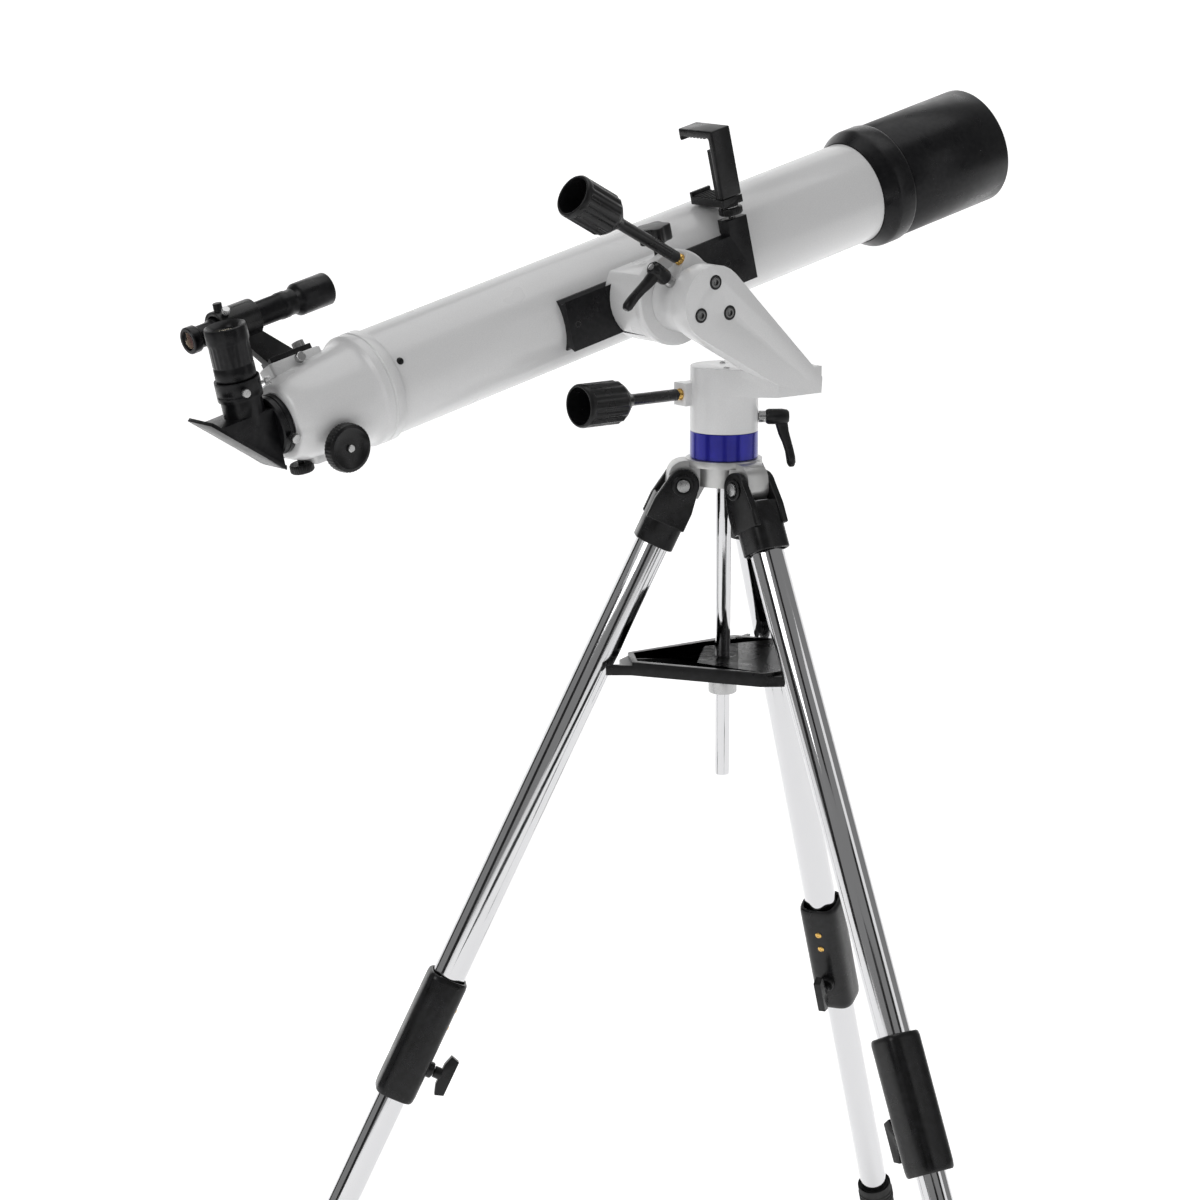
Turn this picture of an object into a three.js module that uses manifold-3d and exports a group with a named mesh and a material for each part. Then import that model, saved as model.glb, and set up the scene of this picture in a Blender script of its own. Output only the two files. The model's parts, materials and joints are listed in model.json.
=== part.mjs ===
// A refractor telescope on a single-arm altazimuth mount and a folding tripod.
// Millimetres, +Z up. The floor is z = 0, and the tripod's feet rest on it.
import * as THREE from 'three';
import { mergeVertices } from 'three/addons/utils/BufferGeometryUtils.js';
import Module from 'manifold-3d';

const wasm = await Module();
wasm.setup();

// ---------------------------------------------------------------- driving dimensions
const GAP = 0.3;                    // running or resting clearance between neighbours
const TRIPOD_AXIS = [88.35, 0];  // the centre column, seen from the middle of the footprint

const LEG_AZIMUTHS = [180, 300, 60];
const LEG_ANGLE = 25;               // from the vertical, spread against its stop
const PIVOT_HEIGHT = 820;
const PIVOT_RADIUS = 38;
const HUB = { flangeR: 34, coreR: 25, depth: 24, lugWidth: 22, lugEndR: 13, pivotDrop: 22 };
const ROD = { r: 7.1, top: -10, bottom: -287 };
const UPPER_LEG = { r: 15, bore: 13.6, top: -15, bottom: -565 };
const LOWER_LEG = { r: 13.1, bore: 11.9, top: -300, bottom: -884 };
const BRACKET = { half: 18, earInner: 11.5, earOuter: 18.5, earR: 14.5, bottom: -59 };
const COLLAR = { half: 18.7, top: -491, bottom: -612, screwAt: -578 };
const FOOT = { r: 16.5, top: -862, bottom: -914 };
const TRAY = { z: -184, bottom: -190, top: -178, floor: 3, bodyR: 84, tabR: 92, hookR: 106 };
const BASE_Z = PIVOT_HEIGHT + HUB.pivotDrop;   // underside of the blue base ring

const HEAD_AZIMUTH = 32.4;          // where the tube points, about the column
const MOUNT_R = 30;
const MOUNT = { baseTop: 24, blockBottom: 57.5, top: 81.5, cavityR: 17, cavityTop: 64 };
const ARM = { outer: 55, inner: 35, endR: 33, bottomLeft: 16, bottomRight: 65, leftTop: 68, rightTop: 71.5 };
const ALT = { x: -55.8, z: 145.7, housingR: 29, flangeR: 41.8, flangeHalf: 4, wheelY: -19 };
const AZ_WORM = { y: 19.5, z: 56.5, wheelR: 14.2, face: -34 };
const ALT_WORM = { y: -19, offset: 26, tilt: 28.4, wheelR: 20.7, face: 25.5 };
const WORM_R = 5;
const KNOB = { shaftR: 5.2, cupR: 19.2, cupBore: 16.4, cone: 13, cup: 43, flutes: 14 };

const TUBE_ALTITUDE = 13.52;
const TUBE = { r: 46.8, bore: 45.2, rear: -262, front: 289, y: 94, axisDrop: 3.34 };
const SHIELD = { r: 54, bore: 51.7, back: 322, front: 441, ringR: 55.7 };
const SADDLE = { r: 41, half: 32, seat: -47.2 };
const BAR = { rear: -87, front: 124, half: 22.5, waist: 19.5, face: -54 };
const FOCUSER = { rear: -360, bore: 23.9 };
const DRAWTUBE_R = 23.5;
const PINION = { u: -328, v: -27, r: 3.2 };
const DIAGONAL = { u: -390, half: 17, shoulder: -372.3 };
const FINDER = { v: 82, y: 40, lean: 26 };
const CLAMP = { u: 113, half: 11, near: -53, far: -7, base: 48, top: 118, studY: -47 };

const FINE = 36;
const ROUND = 24;
const SMALL = 10;

// ---------------------------------------------------------------- solids
const rad = THREE.MathUtils.degToRad;
const X = new THREE.Vector3(1, 0, 0);
const Y = new THREE.Vector3(0, 1, 0);
const Z = new THREE.Vector3(0, 0, 1);

function solidOf(geometry) {
  const bare = geometry.clone();
  bare.deleteAttribute('normal');
  bare.deleteAttribute('uv');
  const merged = mergeVertices(bare, 1e-4);
  const build = (triVerts) => new wasm.Manifold(new wasm.Mesh({
    numProp: 3, vertProperties: merged.attributes.position.array, triVerts }));
  const triVerts = new Uint32Array(merged.index.array);
  const made = build(triVerts);
  return made.volume() < 0 ? build(triVerts.reverse()) : made;
}

function geometryOf(solid) {
  const mesh = solid.getMesh();
  const geometry = new THREE.BufferGeometry();
  geometry.setAttribute('position', new THREE.BufferAttribute(mesh.vertProperties, 3));
  geometry.setIndex(new THREE.BufferAttribute(mesh.triVerts, 1));
  const flat = geometry.toNonIndexed();
  flat.computeVertexNormals();
  return flat;
}

// A matrix whose Z axis lies along direction, with X as near to side as it can be.
function along(origin, direction, side = X) {
  const z = direction.clone().normalize();
  const y = new THREE.Vector3().crossVectors(z, side).normalize();
  const x = new THREE.Vector3().crossVectors(y, z);
  return new THREE.Matrix4().makeBasis(x, y, z).setPosition(...origin);
}

const ALONG_X = along([0, 0, 0], X, Z.clone().negate());
const ALONG_Y = along([0, 0, 0], Y, X);
const UPRIGHT = new THREE.Matrix4();

function at(matrix, ...origin) {
  return matrix.clone().setPosition(...origin);
}

// Revolves a closed profile of [radius, height] points about Z, then places it.
function revolve(profile, place = UPRIGHT, segments = ROUND) {
  const ring = profile.map(([r, h]) => new THREE.Vector2(r, h));
  const onAxis = profile[0][0] === 0 && profile[profile.length - 1][0] === 0;
  if (!onAxis) ring.push(ring[0].clone());
  const geometry = new THREE.LatheGeometry(ring, segments);
  geometry.rotateX(Math.PI / 2);
  return solidOf(geometry.applyMatrix4(place));
}

function disc(r, low, high, place = UPRIGHT, segments = ROUND) {
  return revolve([[0, low], [r, low], [r, high], [0, high]], place, segments);
}

function pipe(r, bore, low, high, place = UPRIGHT, segments = ROUND) {
  return revolve([[bore, low], [r, low], [r, high], [bore, high]], place, segments);
}

// Extrudes a 2-D outline from low to high along Z, then places it.
function prism(points, low, high, place = UPRIGHT) {
  const shape = new THREE.Shape(points.map(([x, y]) => new THREE.Vector2(x, y)));
  const geometry = new THREE.ExtrudeGeometry(shape, { depth: high - low, bevelEnabled: false });
  geometry.translate(0, 0, low);
  return solidOf(geometry.applyMatrix4(place));
}

function box(x0, x1, y0, y1, z0, z1, place = UPRIGHT) {
  const geometry = new THREE.BoxGeometry(x1 - x0, y1 - y0, z1 - z0);
  geometry.translate((x0 + x1) / 2, (y0 + y1) / 2, (z0 + z1) / 2);
  return solidOf(geometry.applyMatrix4(place));
}

function join(first, ...others) {
  return others.reduce((sum, other) => sum.add(other), first);
}

function cut(first, ...others) {
  return others.reduce((rest, other) => rest.subtract(other), first);
}

function arc(cx, cy, r, from, to, steps = 8) {
  return Array.from({ length: steps + 1 }, (_, i) => {
    const angle = rad(from + (to - from) * i / steps);
    return [cx + r * Math.cos(angle), cy + r * Math.sin(angle)];
  });
}

// A square of half width w with corners of radius r.
function roundedSquare(w, r, h = w) {
  const [a, b] = [w - r, h - r];
  return [...arc(a, b, r, 0, 90, 3), ...arc(-a, b, r, 90, 180, 3),
    ...arc(-a, -b, r, 180, 270, 3), ...arc(a, -b, r, 270, 360, 3)];
}

function lobed(r, depth, lobes, steps) {
  return Array.from({ length: lobes * steps }, (_, i) => {
    const angle = 2 * Math.PI * i / (lobes * steps);
    const here = r - depth * (1 + Math.cos(lobes * angle)) / 2;
    return [here * Math.cos(angle), here * Math.sin(angle)];
  });
}

function convexHull(points) {
  const sorted = [...points].sort((p, q) => p[0] - q[0] || p[1] - q[1]);
  const turn = (o, p, q) => (p[0] - o[0]) * (q[1] - o[1]) - (p[1] - o[1]) * (q[0] - o[0]);
  const chain = (list) => list.reduce((hull, p) => {
    while (hull.length > 1 && turn(hull[hull.length - 2], hull[hull.length - 1], p) <= 0) hull.pop();
    hull.push(p);
    return hull;
  }, []);
  return [...chain(sorted).slice(0, -1), ...chain(sorted.reverse()).slice(0, -1)];
}

// ---------------------------------------------------------------- finishes
const FINISHES = {
  pearl: [0xcfcfcf, 0.35, 0.1],
  satin: [0xc4c4c2, 0.35, 0.6],
  blue: [0x1c1c82, 0.3, 0.7],
  black: [0x101010, 0.3, 0.0],
  anodised: [0x0d0d0e, 0.35, 0.5],
  chrome: [0xd8d8d8, 0.08, 1.0],
  steel: [0xb4b4b4, 0.25, 1.0],
  brass: [0xb98a3c, 0.3, 1.0],
  rubber: [0x161616, 0.8, 0.0],
  glass: [0x9fb8c8, 0.05, 0.0],
};

function piece(parent, name, solid, finish) {
  const [color, roughness, metalness] = FINISHES[finish];
  const mesh = new THREE.Mesh(geometryOf(solid), new THREE.MeshStandardMaterial({
    color, roughness, metalness }));
  mesh.name = name;
  parent.add(mesh);
  return mesh;
}

function group(parent, position = [0, 0, 0], axis = Z, angle = 0) {
  const made = new THREE.Group();
  made.position.set(...position);
  made.setRotationFromAxisAngle(axis, rad(angle));
  parent.add(made);
  return made;
}

// ---------------------------------------------------------------- tripod
function hubLug(azimuth) {
  const { lugWidth, lugEndR, pivotDrop, depth } = HUB;
  const upper = 14;
  const outline = [[0, -1], ...arc(PIVOT_RADIUS - 2, -1 - upper, upper, 90, 0, 5),
    ...arc(PIVOT_RADIUS, -pivotDrop, lugEndR, 0, -90, 5), [24, -pivotDrop - lugEndR], [18, -depth], [0, -depth]];
  const turned = new THREE.Matrix4().makeRotationZ(rad(azimuth));
  const upright = turned.multiply(along([0, 0, 0], Y.clone().negate(), X));
  const lug = prism(outline, -lugWidth / 2, lugWidth / 2, upright);
  const bore = disc(3.3, -30, 30, upright.clone().multiply(
    new THREE.Matrix4().makeTranslation(PIVOT_RADIUS, -pivotDrop, 0)), SMALL);
  return cut(lug, bore);
}

function tripodHub() {
  const core = join(disc(HUB.flangeR, -6, 0), disc(HUB.coreR, -HUB.depth, -3));
  const whole = join(core, ...LEG_AZIMUTHS.map(hubLug));
  return cut(whole, disc(ROD.r + 0.3, -HUB.depth - 20, ROD.top + 1));
}

function legBracket() {
  const { half, earInner, earOuter, earR, bottom } = BRACKET;
  const body = prism(roundedSquare(half, 5, earOuter), bottom, UPPER_LEG.top + 1);
  const ear = [...arc(0, 0, earR, 0, 180, 8), [-half, -22], [-half, -40], [half, -40], [half, -22]];
  const sideways = along([0, 0, 0], Y.clone().negate(), X);
  const ears = [1, -1].map((side) => {
    const [low, high] = side > 0 ? [earInner, earOuter] : [-earOuter, -earInner];
    return prism(ear, low, high, sideways);
  });
  const bore = disc(UPPER_LEG.r + GAP, bottom - 1, UPPER_LEG.top + 2);
  const boltHole = disc(3.3, -30, 30, ALONG_Y, SMALL);
  const windows = [[-36, -17], [-56, -39]].map(([low, high]) => box(9, 30, -9, 9, low, high));
  return cut(join(body, ...ears), bore, boltHole, ...windows);
}

function pivotBolt() {
  const head = BRACKET.earOuter + GAP;
  return join(disc(3, -head - 1, head + 1, ALONG_Y, SMALL),
    disc(5.7, head, head + 2.6, ALONG_Y, SMALL), disc(5.7, -head - 2.6, -head, ALONG_Y, SMALL));
}

function legCollar() {
  const { half, top, bottom, screwAt } = COLLAR;
  const body = prism(roundedSquare(half, 7), bottom, top);
  const boss = disc(7.5, -half - 5, -half + 3, at(ALONG_X, 0, 0, screwAt), SMALL);
  return cut(join(body, boss), disc(UPPER_LEG.r + GAP, UPPER_LEG.bottom - GAP, top + 1),
    disc(LOWER_LEG.r + GAP, bottom - 1, UPPER_LEG.bottom),
    disc(3.3, -half - 10, 0, at(ALONG_X, 0, 0, screwAt), SMALL));
}

function wingScrew() {
  const place = at(ALONG_X, 0, 0, COLLAR.screwAt);
  const wing = [[-31, -10], [-31, 10], [-34, 19.5], [-42, 17], [-42, -17], [-34, -19.5]];
  const sideways = along([0, 0, COLLAR.screwAt], Y.clone().negate(), X);
  return join(disc(3, -33, -LOWER_LEG.r - GAP, place, SMALL), disc(5.5, -32, -25, place, SMALL),
    prism(wing, -3.5, 3.5, sideways));
}

function rubberFoot() {
  const { r, top, bottom } = FOOT;
  const cap = revolve([[0, bottom], [r, bottom], [r, top + 4], [r - 1.5, top], [LOWER_LEG.r + GAP, top],
    [LOWER_LEG.r + GAP, LOWER_LEG.bottom - GAP], [0, LOWER_LEG.bottom - GAP]], UPRIGHT, 24);
  const legPlace = new THREE.Matrix4().makeRotationY(rad(-LEG_ANGLE));
  legPlace.setPosition(PIVOT_RADIUS, 0, PIVOT_HEIGHT);
  const room = box(0, 900, -60, 60, 0, 120, legPlace.clone().invert());
  return cap.intersect(room);
}

function makeLeg(tripod, number, azimuth) {
  const turned = group(tripod, [0, 0, 0], Z, azimuth);
  const leg = group(turned, [PIVOT_RADIUS, 0, PIVOT_HEIGHT], Y, -LEG_ANGLE);
  piece(leg, `leg_bracket_${number}`, legBracket(), 'black');
  piece(leg, `leg_pivot_bolt_${number}`, pivotBolt(), 'steel');
  piece(leg, `upper_leg_tube_${number}`,
    pipe(UPPER_LEG.r, UPPER_LEG.bore, UPPER_LEG.bottom, UPPER_LEG.top), 'chrome');
  piece(leg, `leg_collar_${number}`, legCollar(), 'black');
  piece(leg, `leg_wing_screw_${number}`, wingScrew(), 'black');
  piece(leg, `lower_leg_tube_${number}`,
    pipe(LOWER_LEG.r, LOWER_LEG.bore, LOWER_LEG.bottom, LOWER_LEG.top), 'chrome');
  piece(leg, `rubber_foot_${number}`, rubberFoot(), 'rubber');
}

// The tray's outline at one leg: a body corner, a tab that reaches the leg, and a hook beside it.
function trayCorner() {
  const { bodyR, tabR, hookR } = TRAY;
  return [[bodyR - 3, -20], [tabR - 4, -9], [tabR, -2], [tabR, 16.8], [hookR, 17.4], [hookR, 20.6], [bodyR, 23]];
}

function trayOutline(corner) {
  return LEG_AZIMUTHS.toSorted((a, b) => a - b).flatMap((azimuth) => {
    const turn = rad(azimuth);
    return corner.map(([r, side]) => [r * Math.cos(turn) - side * Math.sin(turn),
      r * Math.sin(turn) + side * Math.cos(turn)]);
  });
}

function accessoryTray() {
  const { bottom, top, floor, bodyR, hookR } = TRAY;
  const body = prism(trayOutline(trayCorner()), bottom, top);
  const inside = trayOutline([[bodyR - 6, -16], [bodyR - 6, 18]]);
  const recess = prism(inside, bottom + floor, top + 1);
  const about = (azimuth) => new THREE.Matrix4().makeRotationZ(rad(azimuth));
  const tabs = LEG_AZIMUTHS.map((a) => box(bodyR - 1, hookR + 5, -30, 30, bottom + 9, top + 1, about(a)));
  const ridges = LEG_AZIMUTHS.map((a) => box(0, bodyR - 7, -1.2, 1.2, bottom + 2, top - 2, about(a)));
  const hub = disc(13, bottom, top);
  return cut(join(cut(body, recess, ...tabs), ...ridges, hub), disc(ROD.r + 0.4, bottom - 1, top + 1));
}

function lockKnob() {
  const low = TRAY.bottom - 22;
  const profile = [[ROD.r + 0.4, low], [11.4, low], [12.6, low + 1.5], [12.6, low + 11], [15.5, low + 11],
    [17.3, low + 13], [17.3, low + 22 - GAP], [ROD.r + 0.4, low + 22 - GAP]];
  const body = revolve(profile, UPRIGHT, ROUND);
  return body.intersect(prism(lobed(17.6, 1.2, 14, 3), low - 1, low + 23));
}

// ---------------------------------------------------------------- mount
function azimuthBase() {
  return join(disc(MOUNT_R, GAP, MOUNT.baseTop, UPRIGHT, FINE), disc(8.5, MOUNT.baseTop - 1, MOUNT.cavityTop - 1));
}

// A tangent point of a circle, seen from an outside point. side picks one of the two.
function tangent(px, py, cx, cy, r, side) {
  const [dx, dy] = [px - cx, py - cy];
  const angle = Math.atan2(dy, dx) + side * Math.acos(r / Math.hypot(dx, dy));
  return [cx + r * Math.cos(angle), cy + r * Math.sin(angle), THREE.MathUtils.radToDeg(angle)];
}

function armOutline() {
  const { bottomLeft, bottomRight, leftTop, rightTop, endR } = ARM;
  const right = tangent(bottomRight + 1, rightTop, ALT.x, ALT.z, endR, 1);
  const left = tangent(bottomLeft, leftTop, ALT.x, ALT.z, endR, -1);
  const sweep = (left[2] - right[2] + 720) % 360;
  return [[bottomLeft, MOUNT.blockBottom], [bottomRight, MOUNT.blockBottom], [bottomRight + 1, rightTop],
    ...arc(ALT.x, ALT.z, endR, right[2], right[2] + sweep, 14), [bottomLeft, leftTop]];
}

function leverPlace(origin, axis, swing) {
  return along(origin, axis, swing.clone().negate());
}

const ARM_SIDE = along([0, 0, 0], Y.clone().negate(), X);   // outlines in X-Z, extruded towards the arm
const AZ_LEVER_ANGLE = -37.9;
const AZ_LEVER = new THREE.Vector3(Math.cos(rad(AZ_LEVER_ANGLE)), Math.sin(rad(AZ_LEVER_ANGLE)), 0);
const AZ_LEVER_Z = 36;

function azimuthHousing() {
  const { baseTop, blockBottom, top, cavityR, cavityTop } = MOUNT;
  const barrel = disc(MOUNT_R, baseTop + GAP, top, UPRIGHT, FINE);
  const circle = Array.from({ length: FINE }, (_, i) => [MOUNT_R * Math.cos(2 * Math.PI * i / FINE),
    MOUNT_R * Math.sin(2 * Math.PI * i / FINE)]);
  const plan = convexHull([...circle, [ARM.bottomLeft, -ARM.outer], [ARM.bottomRight, -ARM.outer],
    [ARM.bottomRight, -ARM.inner]]);
  const block = prism(plan, blockBottom, top);
  const arm = prism(armOutline(), ARM.inner, ARM.outer, ARM_SIDE);
  const wormBlock = box(AZ_WORM.face, -15, AZ_WORM.y - 7.5, AZ_WORM.y + 8.5, AZ_WORM.z - 10, AZ_WORM.z + 10);
  const screws = [90, 210, 330].map((angle) => disc(3.3, -ARM.outer - 1, -ARM.inner + 1,
    at(ALONG_Y, ALT.x + 18.2 * Math.cos(rad(angle)), 0, ALT.z + 18.2 * Math.sin(rad(angle))), SMALL));
  return cut(join(barrel, block, arm, wormBlock), disc(cavityR, baseTop, cavityTop),
    disc(WORM_R + 0.4, AZ_WORM.face - 1, 18, at(ALONG_X, 0, AZ_WORM.y, AZ_WORM.z), SMALL),
    disc(3.3, cavityR - 2, MOUNT_R + 1, leverPlace([0, 0, AZ_LEVER_Z], AZ_LEVER, Z), SMALL), ...screws);
}

// Frame of the altitude worm: its Z axis runs outwards along the worm.
const WORM_AXIS = new THREE.Vector3(-Math.cos(rad(ALT_WORM.tilt)), 0, Math.sin(rad(ALT_WORM.tilt)));
const WORM_NORMAL = new THREE.Vector3(Math.sin(rad(ALT_WORM.tilt)), 0, Math.cos(rad(ALT_WORM.tilt)));
const ALT_WORM_PLACE = along([ALT.x + ALT_WORM.offset * WORM_NORMAL.x, ALT_WORM.y,
  ALT.z + ALT_WORM.offset * WORM_NORMAL.z], WORM_AXIS, WORM_NORMAL);
const AZ_WORM_PLACE = along([0, AZ_WORM.y, AZ_WORM.z], X.clone().negate(), Z);
const ALT_LEVER_ANGLE = 145;
const ALT_LEVER_Y = -24;
const ALT_LEVER = new THREE.Vector3(Math.cos(rad(ALT_LEVER_ANGLE)), 0, Math.sin(rad(ALT_LEVER_ANGLE)));
const ALT_LEVER_SWING = new THREE.Vector3(-Math.sin(rad(ALT_LEVER_ANGLE)), 0, Math.cos(rad(ALT_LEVER_ANGLE)));
const ALT_LEVER_PLACE = leverPlace([ALT.x, ALT_LEVER_Y, ALT.z], ALT_LEVER, ALT_LEVER_SWING);

function altitudeHousing() {
  const place = at(ALONG_Y, ALT.x, 0, ALT.z);
  const near = -ARM.inner + GAP;
  const far = -ALT.flangeHalf - GAP;
  const barrel = disc(ALT.housingR, near, far, place, FINE);
  const block = box(-ALT_WORM.offset, 8, -6.5, 6.5, -12, ALT_WORM.face, ALT_WORM_PLACE);
  return cut(join(barrel, block), disc(ALT_WORM.wheelR + 0.5, -27, far - 6, place),
    disc(10.3, -27, far + 1, place), disc(WORM_R + 0.4, -10, ALT_WORM.face + 1, ALT_WORM_PLACE, SMALL),
    disc(3.3, ALT_WORM.wheelR - 2, ALT.housingR + 5, ALT_LEVER_PLACE, SMALL));
}

function wormShaft(face, place) {
  const shaft = [[0, -9.5], [WORM_R, -9.5], [WORM_R, 9.5], [3.6, 11], [3.6, face - 4], [4.9, face - 3],
    [4.9, face + 3], [4, face + 3.5], [0, face + 3.5]];
  return revolve(shaft, place, SMALL);
}

function controlKnob(start, stem, place) {
  const { shaftR, cupR, cupBore, cone, cup, flutes } = KNOB;
  const coneEnd = start + stem + cone;
  const stalk = revolve([[0, start], [shaftR, start], [shaftR, start + stem], [cupR - 2, coneEnd],
    [cupR - 2, coneEnd + 3], [0, coneEnd + 3]], place);
  const shell = prism(lobed(cupR, 1.3, flutes, 4), coneEnd, coneEnd + cup, place);
  const hollow = disc(cupBore, coneEnd + 4, coneEnd + cup + 1, place);
  return cut(join(stalk, shell), hollow);
}

// The stud points along local Z. The handle swings down along local -X.
function clampLever(inner, seat, place) {
  const collar = seat + 6.5;
  const outline = [[7, collar], [7, collar + 20], [2, collar + 21.5], [-10, collar + 22.5], [-24, collar + 25],
    ...arc(-41, collar + 22.5, 4.2, 60, 290, 6), [-33, collar + 19.5], [-22, collar + 18.5],
    [-12, collar + 14], [-7, collar + 7], [-7, collar]];
  const upright = place.clone().multiply(along([0, 0, 0], Y.clone().negate(), X));
  const handle = prism(outline, -4.5, 4.5, upright);
  return join(disc(3, inner, collar + 1, place, SMALL), disc(5.2, seat, collar + 1, place, SMALL), handle);
}

function altitudeShaft() {
  const { flangeHalf, flangeR } = ALT;
  const place = at(ALONG_Y, ALT.x, 0, ALT.z);
  return revolve([[0, -26.5], [10, -26.5], [10, -flangeHalf], [flangeR - 2, -flangeHalf],
    [flangeR, -flangeHalf + 2], [flangeR, flangeHalf], [0, flangeHalf]], place, FINE);
}

// ---------------------------------------------------------------- telescope, in the tube's own frame
const BAR_HALF_SECTION = [[BAR.face, BAR.half], [-49, BAR.waist], [-46.5, BAR.waist], [-44, BAR.half], [-36, BAR.half]];

function sectionAlongX(half, low, high) {
  const outline = [...half, ...half.map(([y, v]) => [y, -v]).reverse()];
  return prism(outline, low, high, along([0, 0, 0], X, Y));
}

function saddleBlock() {
  const { r, half, seat } = SADDLE;
  const channel = [[BAR.face - 0.4, 0], [BAR.face - 0.4, BAR.half + 0.4], [-48.6, BAR.waist + 0.4],
    [-40, BAR.waist + 0.4]];
  const round = disc(r, ALT.flangeHalf + GAP - TUBE.y, seat, at(ALONG_Y, 0, 0, TUBE.axisDrop), FINE);
  const body = round.intersect(box(-r, r, -TUBE.y, seat, -half, half));
  const screwHole = disc(3.3, 10, 40, at(UPRIGHT, 8, -70, 0), SMALL);
  return cut(body, sectionAlongX(channel, -r - 1, r + 1), screwHole.intersect(box(0, 20, -80, -60, 24, 40)));
}

function saddleKnob() {
  const place = at(UPRIGHT, 8, -70, 0);
  return join(disc(3, 24.3, 50, place, SMALL), disc(8, 45, 50, place, 24),
    prism(lobed(15.5, 3, 5, 8), 49, 63, place));
}

function dovetailBar() {
  const rail = sectionAlongX(BAR_HALF_SECTION, BAR.rear, BAR.front);
  const block = box(BAR.front - 22, BAR.front, BAR.face, -40, -21, 36);
  const stud = disc(3.1, 30, 40, at(UPRIGHT, CLAMP.u, CLAMP.studY, 0), SMALL);
  return cut(join(rail, block), disc(TUBE.r + GAP, BAR.rear - 1, BAR.front + 1, ALONG_X, FINE), stud);
}

function lensCell() {
  const { back, ringR } = SHIELD;
  const joint = TUBE.front + GAP;
  return revolve([[42, joint - 19], [45, joint - 19], [45, joint], [48, joint], [54.5, joint + 11],
    [ringR, joint + 16], [ringR, back], [51.3, back], [51.3, back + 18], [45.4, back + 18],
    [45.4, joint + 11.5], [42, joint + 11.5]], ALONG_X, FINE);
}

function dewShield() {
  const { r, bore, back, front } = SHIELD;
  return revolve([[bore, back + GAP], [r, back + GAP], [r, front], [bore, front]], ALONG_X, FINE);
}

// A shallow spherical surface from the rim at edge to the axis at centre.
function lensFace(edge, centre, r, steps = 3) {
  return Array.from({ length: steps + 1 }, (_, i) => {
    const here = r * (1 - i / steps);
    return [here, edge + (centre - edge) * (1 - (here / r) ** 2)];
  });
}

function objectiveLens(back, front, r) {
  return revolve([...lensFace(back[0], back[1], r).reverse(), ...lensFace(front[0], front[1], r)], ALONG_X, ROUND);
}

const LEAN = new THREE.Matrix4().makeRotationX(rad(-FINDER.lean));   // towards the finder's side

function focuserHousing() {
  const rear = FOCUSER.rear;
  const front = TUBE.rear - GAP;
  const shell = revolve([[FOCUSER.bore, rear], [31, rear], [34, rear + 3], [37.5, rear + 12], [42.5, -300],
    [44.5, -288], [46, -282], [49.3, -276], [49.3, front], [45, front], [45, front + 14], [42, front + 14],
    [42, -286], [FOCUSER.bore, -300]], ALONG_X, FINE);
  const shoe = box(-350, -298, -12, 12, 36, 47, LEAN);
  const bore = disc(42, -286, front + 15, ALONG_X, FINE);
  const path = disc(FOCUSER.bore, rear - 1, -280, ALONG_X, FINE);
  const pinionBore = disc(PINION.r + 0.3, -60, 60, at(ALONG_Y, PINION.u, 0, PINION.v), SMALL);
  const lockBore = disc(2.9, -50, -20, at(UPRIGHT, -347, 0, 0), SMALL);
  return cut(join(shell, shoe), bore, path, pinionBore, lockBore);
}

function drawtube() {
  const rear = FOCUSER.rear;
  return revolve([[16.1, rear - 12], [26, rear - 12], [26, rear - GAP], [DRAWTUBE_R, rear - GAP],
    [DRAWTUBE_R, -266], [20, -266], [20, -344], [16.1, -344]], ALONG_X, FINE);
}

function focusKnob(side) {
  const profile = [[PINION.r + 0.1, 40], [14, 40], [16, 41.5], [20.9, 42.5], [20.9, 51], [19.6, 52.5],
    [PINION.r + 0.1, 52.5]];
  const mirrored = profile.map(([r, h]) => [r, side * h]);
  return revolve(mirrored, at(ALONG_Y, PINION.u, 0, PINION.v), ROUND);
}

function focusLock() {
  const place = at(UPRIGHT, -347, 0, 0);
  return join(disc(2.6, -41, -24.5, place, SMALL), prism(lobed(10.5, 1, 12, 4), -48, -40.5, place));
}

function starDiagonal() {
  const { u, half, shoulder } = DIAGONAL;
  const side = [[shoulder, -32], [shoulder, 19], [-423, 19], [-430, 22.5], [-372.5 - 3, -33]];
  const body = prism(side, -half, half, ARM_SIDE);
  const cover = prism([[-371.6 - 1, -35.2], [-434, 24.6], [-431.5, 26.6], [-370.6 - 1, -31.6]], -half - 1.2,
    half + 1.2, ARM_SIDE);
  const barrel = disc(15.8, shoulder - 5, -346, ALONG_X);
  const holder = join(disc(17.5, 10, 34, at(UPRIGHT, u, 0, 0)), disc(19.3, 33, 50, at(UPRIGHT, u, 0, 0)));
  return cut(join(body, cover, barrel, holder), disc(16.1, 22, 51, at(UPRIGHT, u, 0, 0)));
}

function eyepiece() {
  return revolve([[0, 23], [15.8, 23], [15.8, 50.3], [17.4, 50.3], [17.4, 84], [18.2, 86], [18.2, 95],
    [16.2, 96], [12, 92], [0, 92]], at(UPRIGHT, DIAGONAL.u, 0, 0), ROUND);
}

function finderScope() {
  const place = at(ALONG_X, 0, FINDER.y, FINDER.v);
  return revolve([[0, -402], [8.5, -402], [9.5, -405], [11.6, -404], [11.6, -396], [9.5, -394], [9.5, -381],
    [11, -379], [11, -296], [13.2, -294], [14.2, -292], [14.2, -261], [12.6, -261], [12.6, -272], [0, -272]],
  place, ROUND);
}

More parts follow.
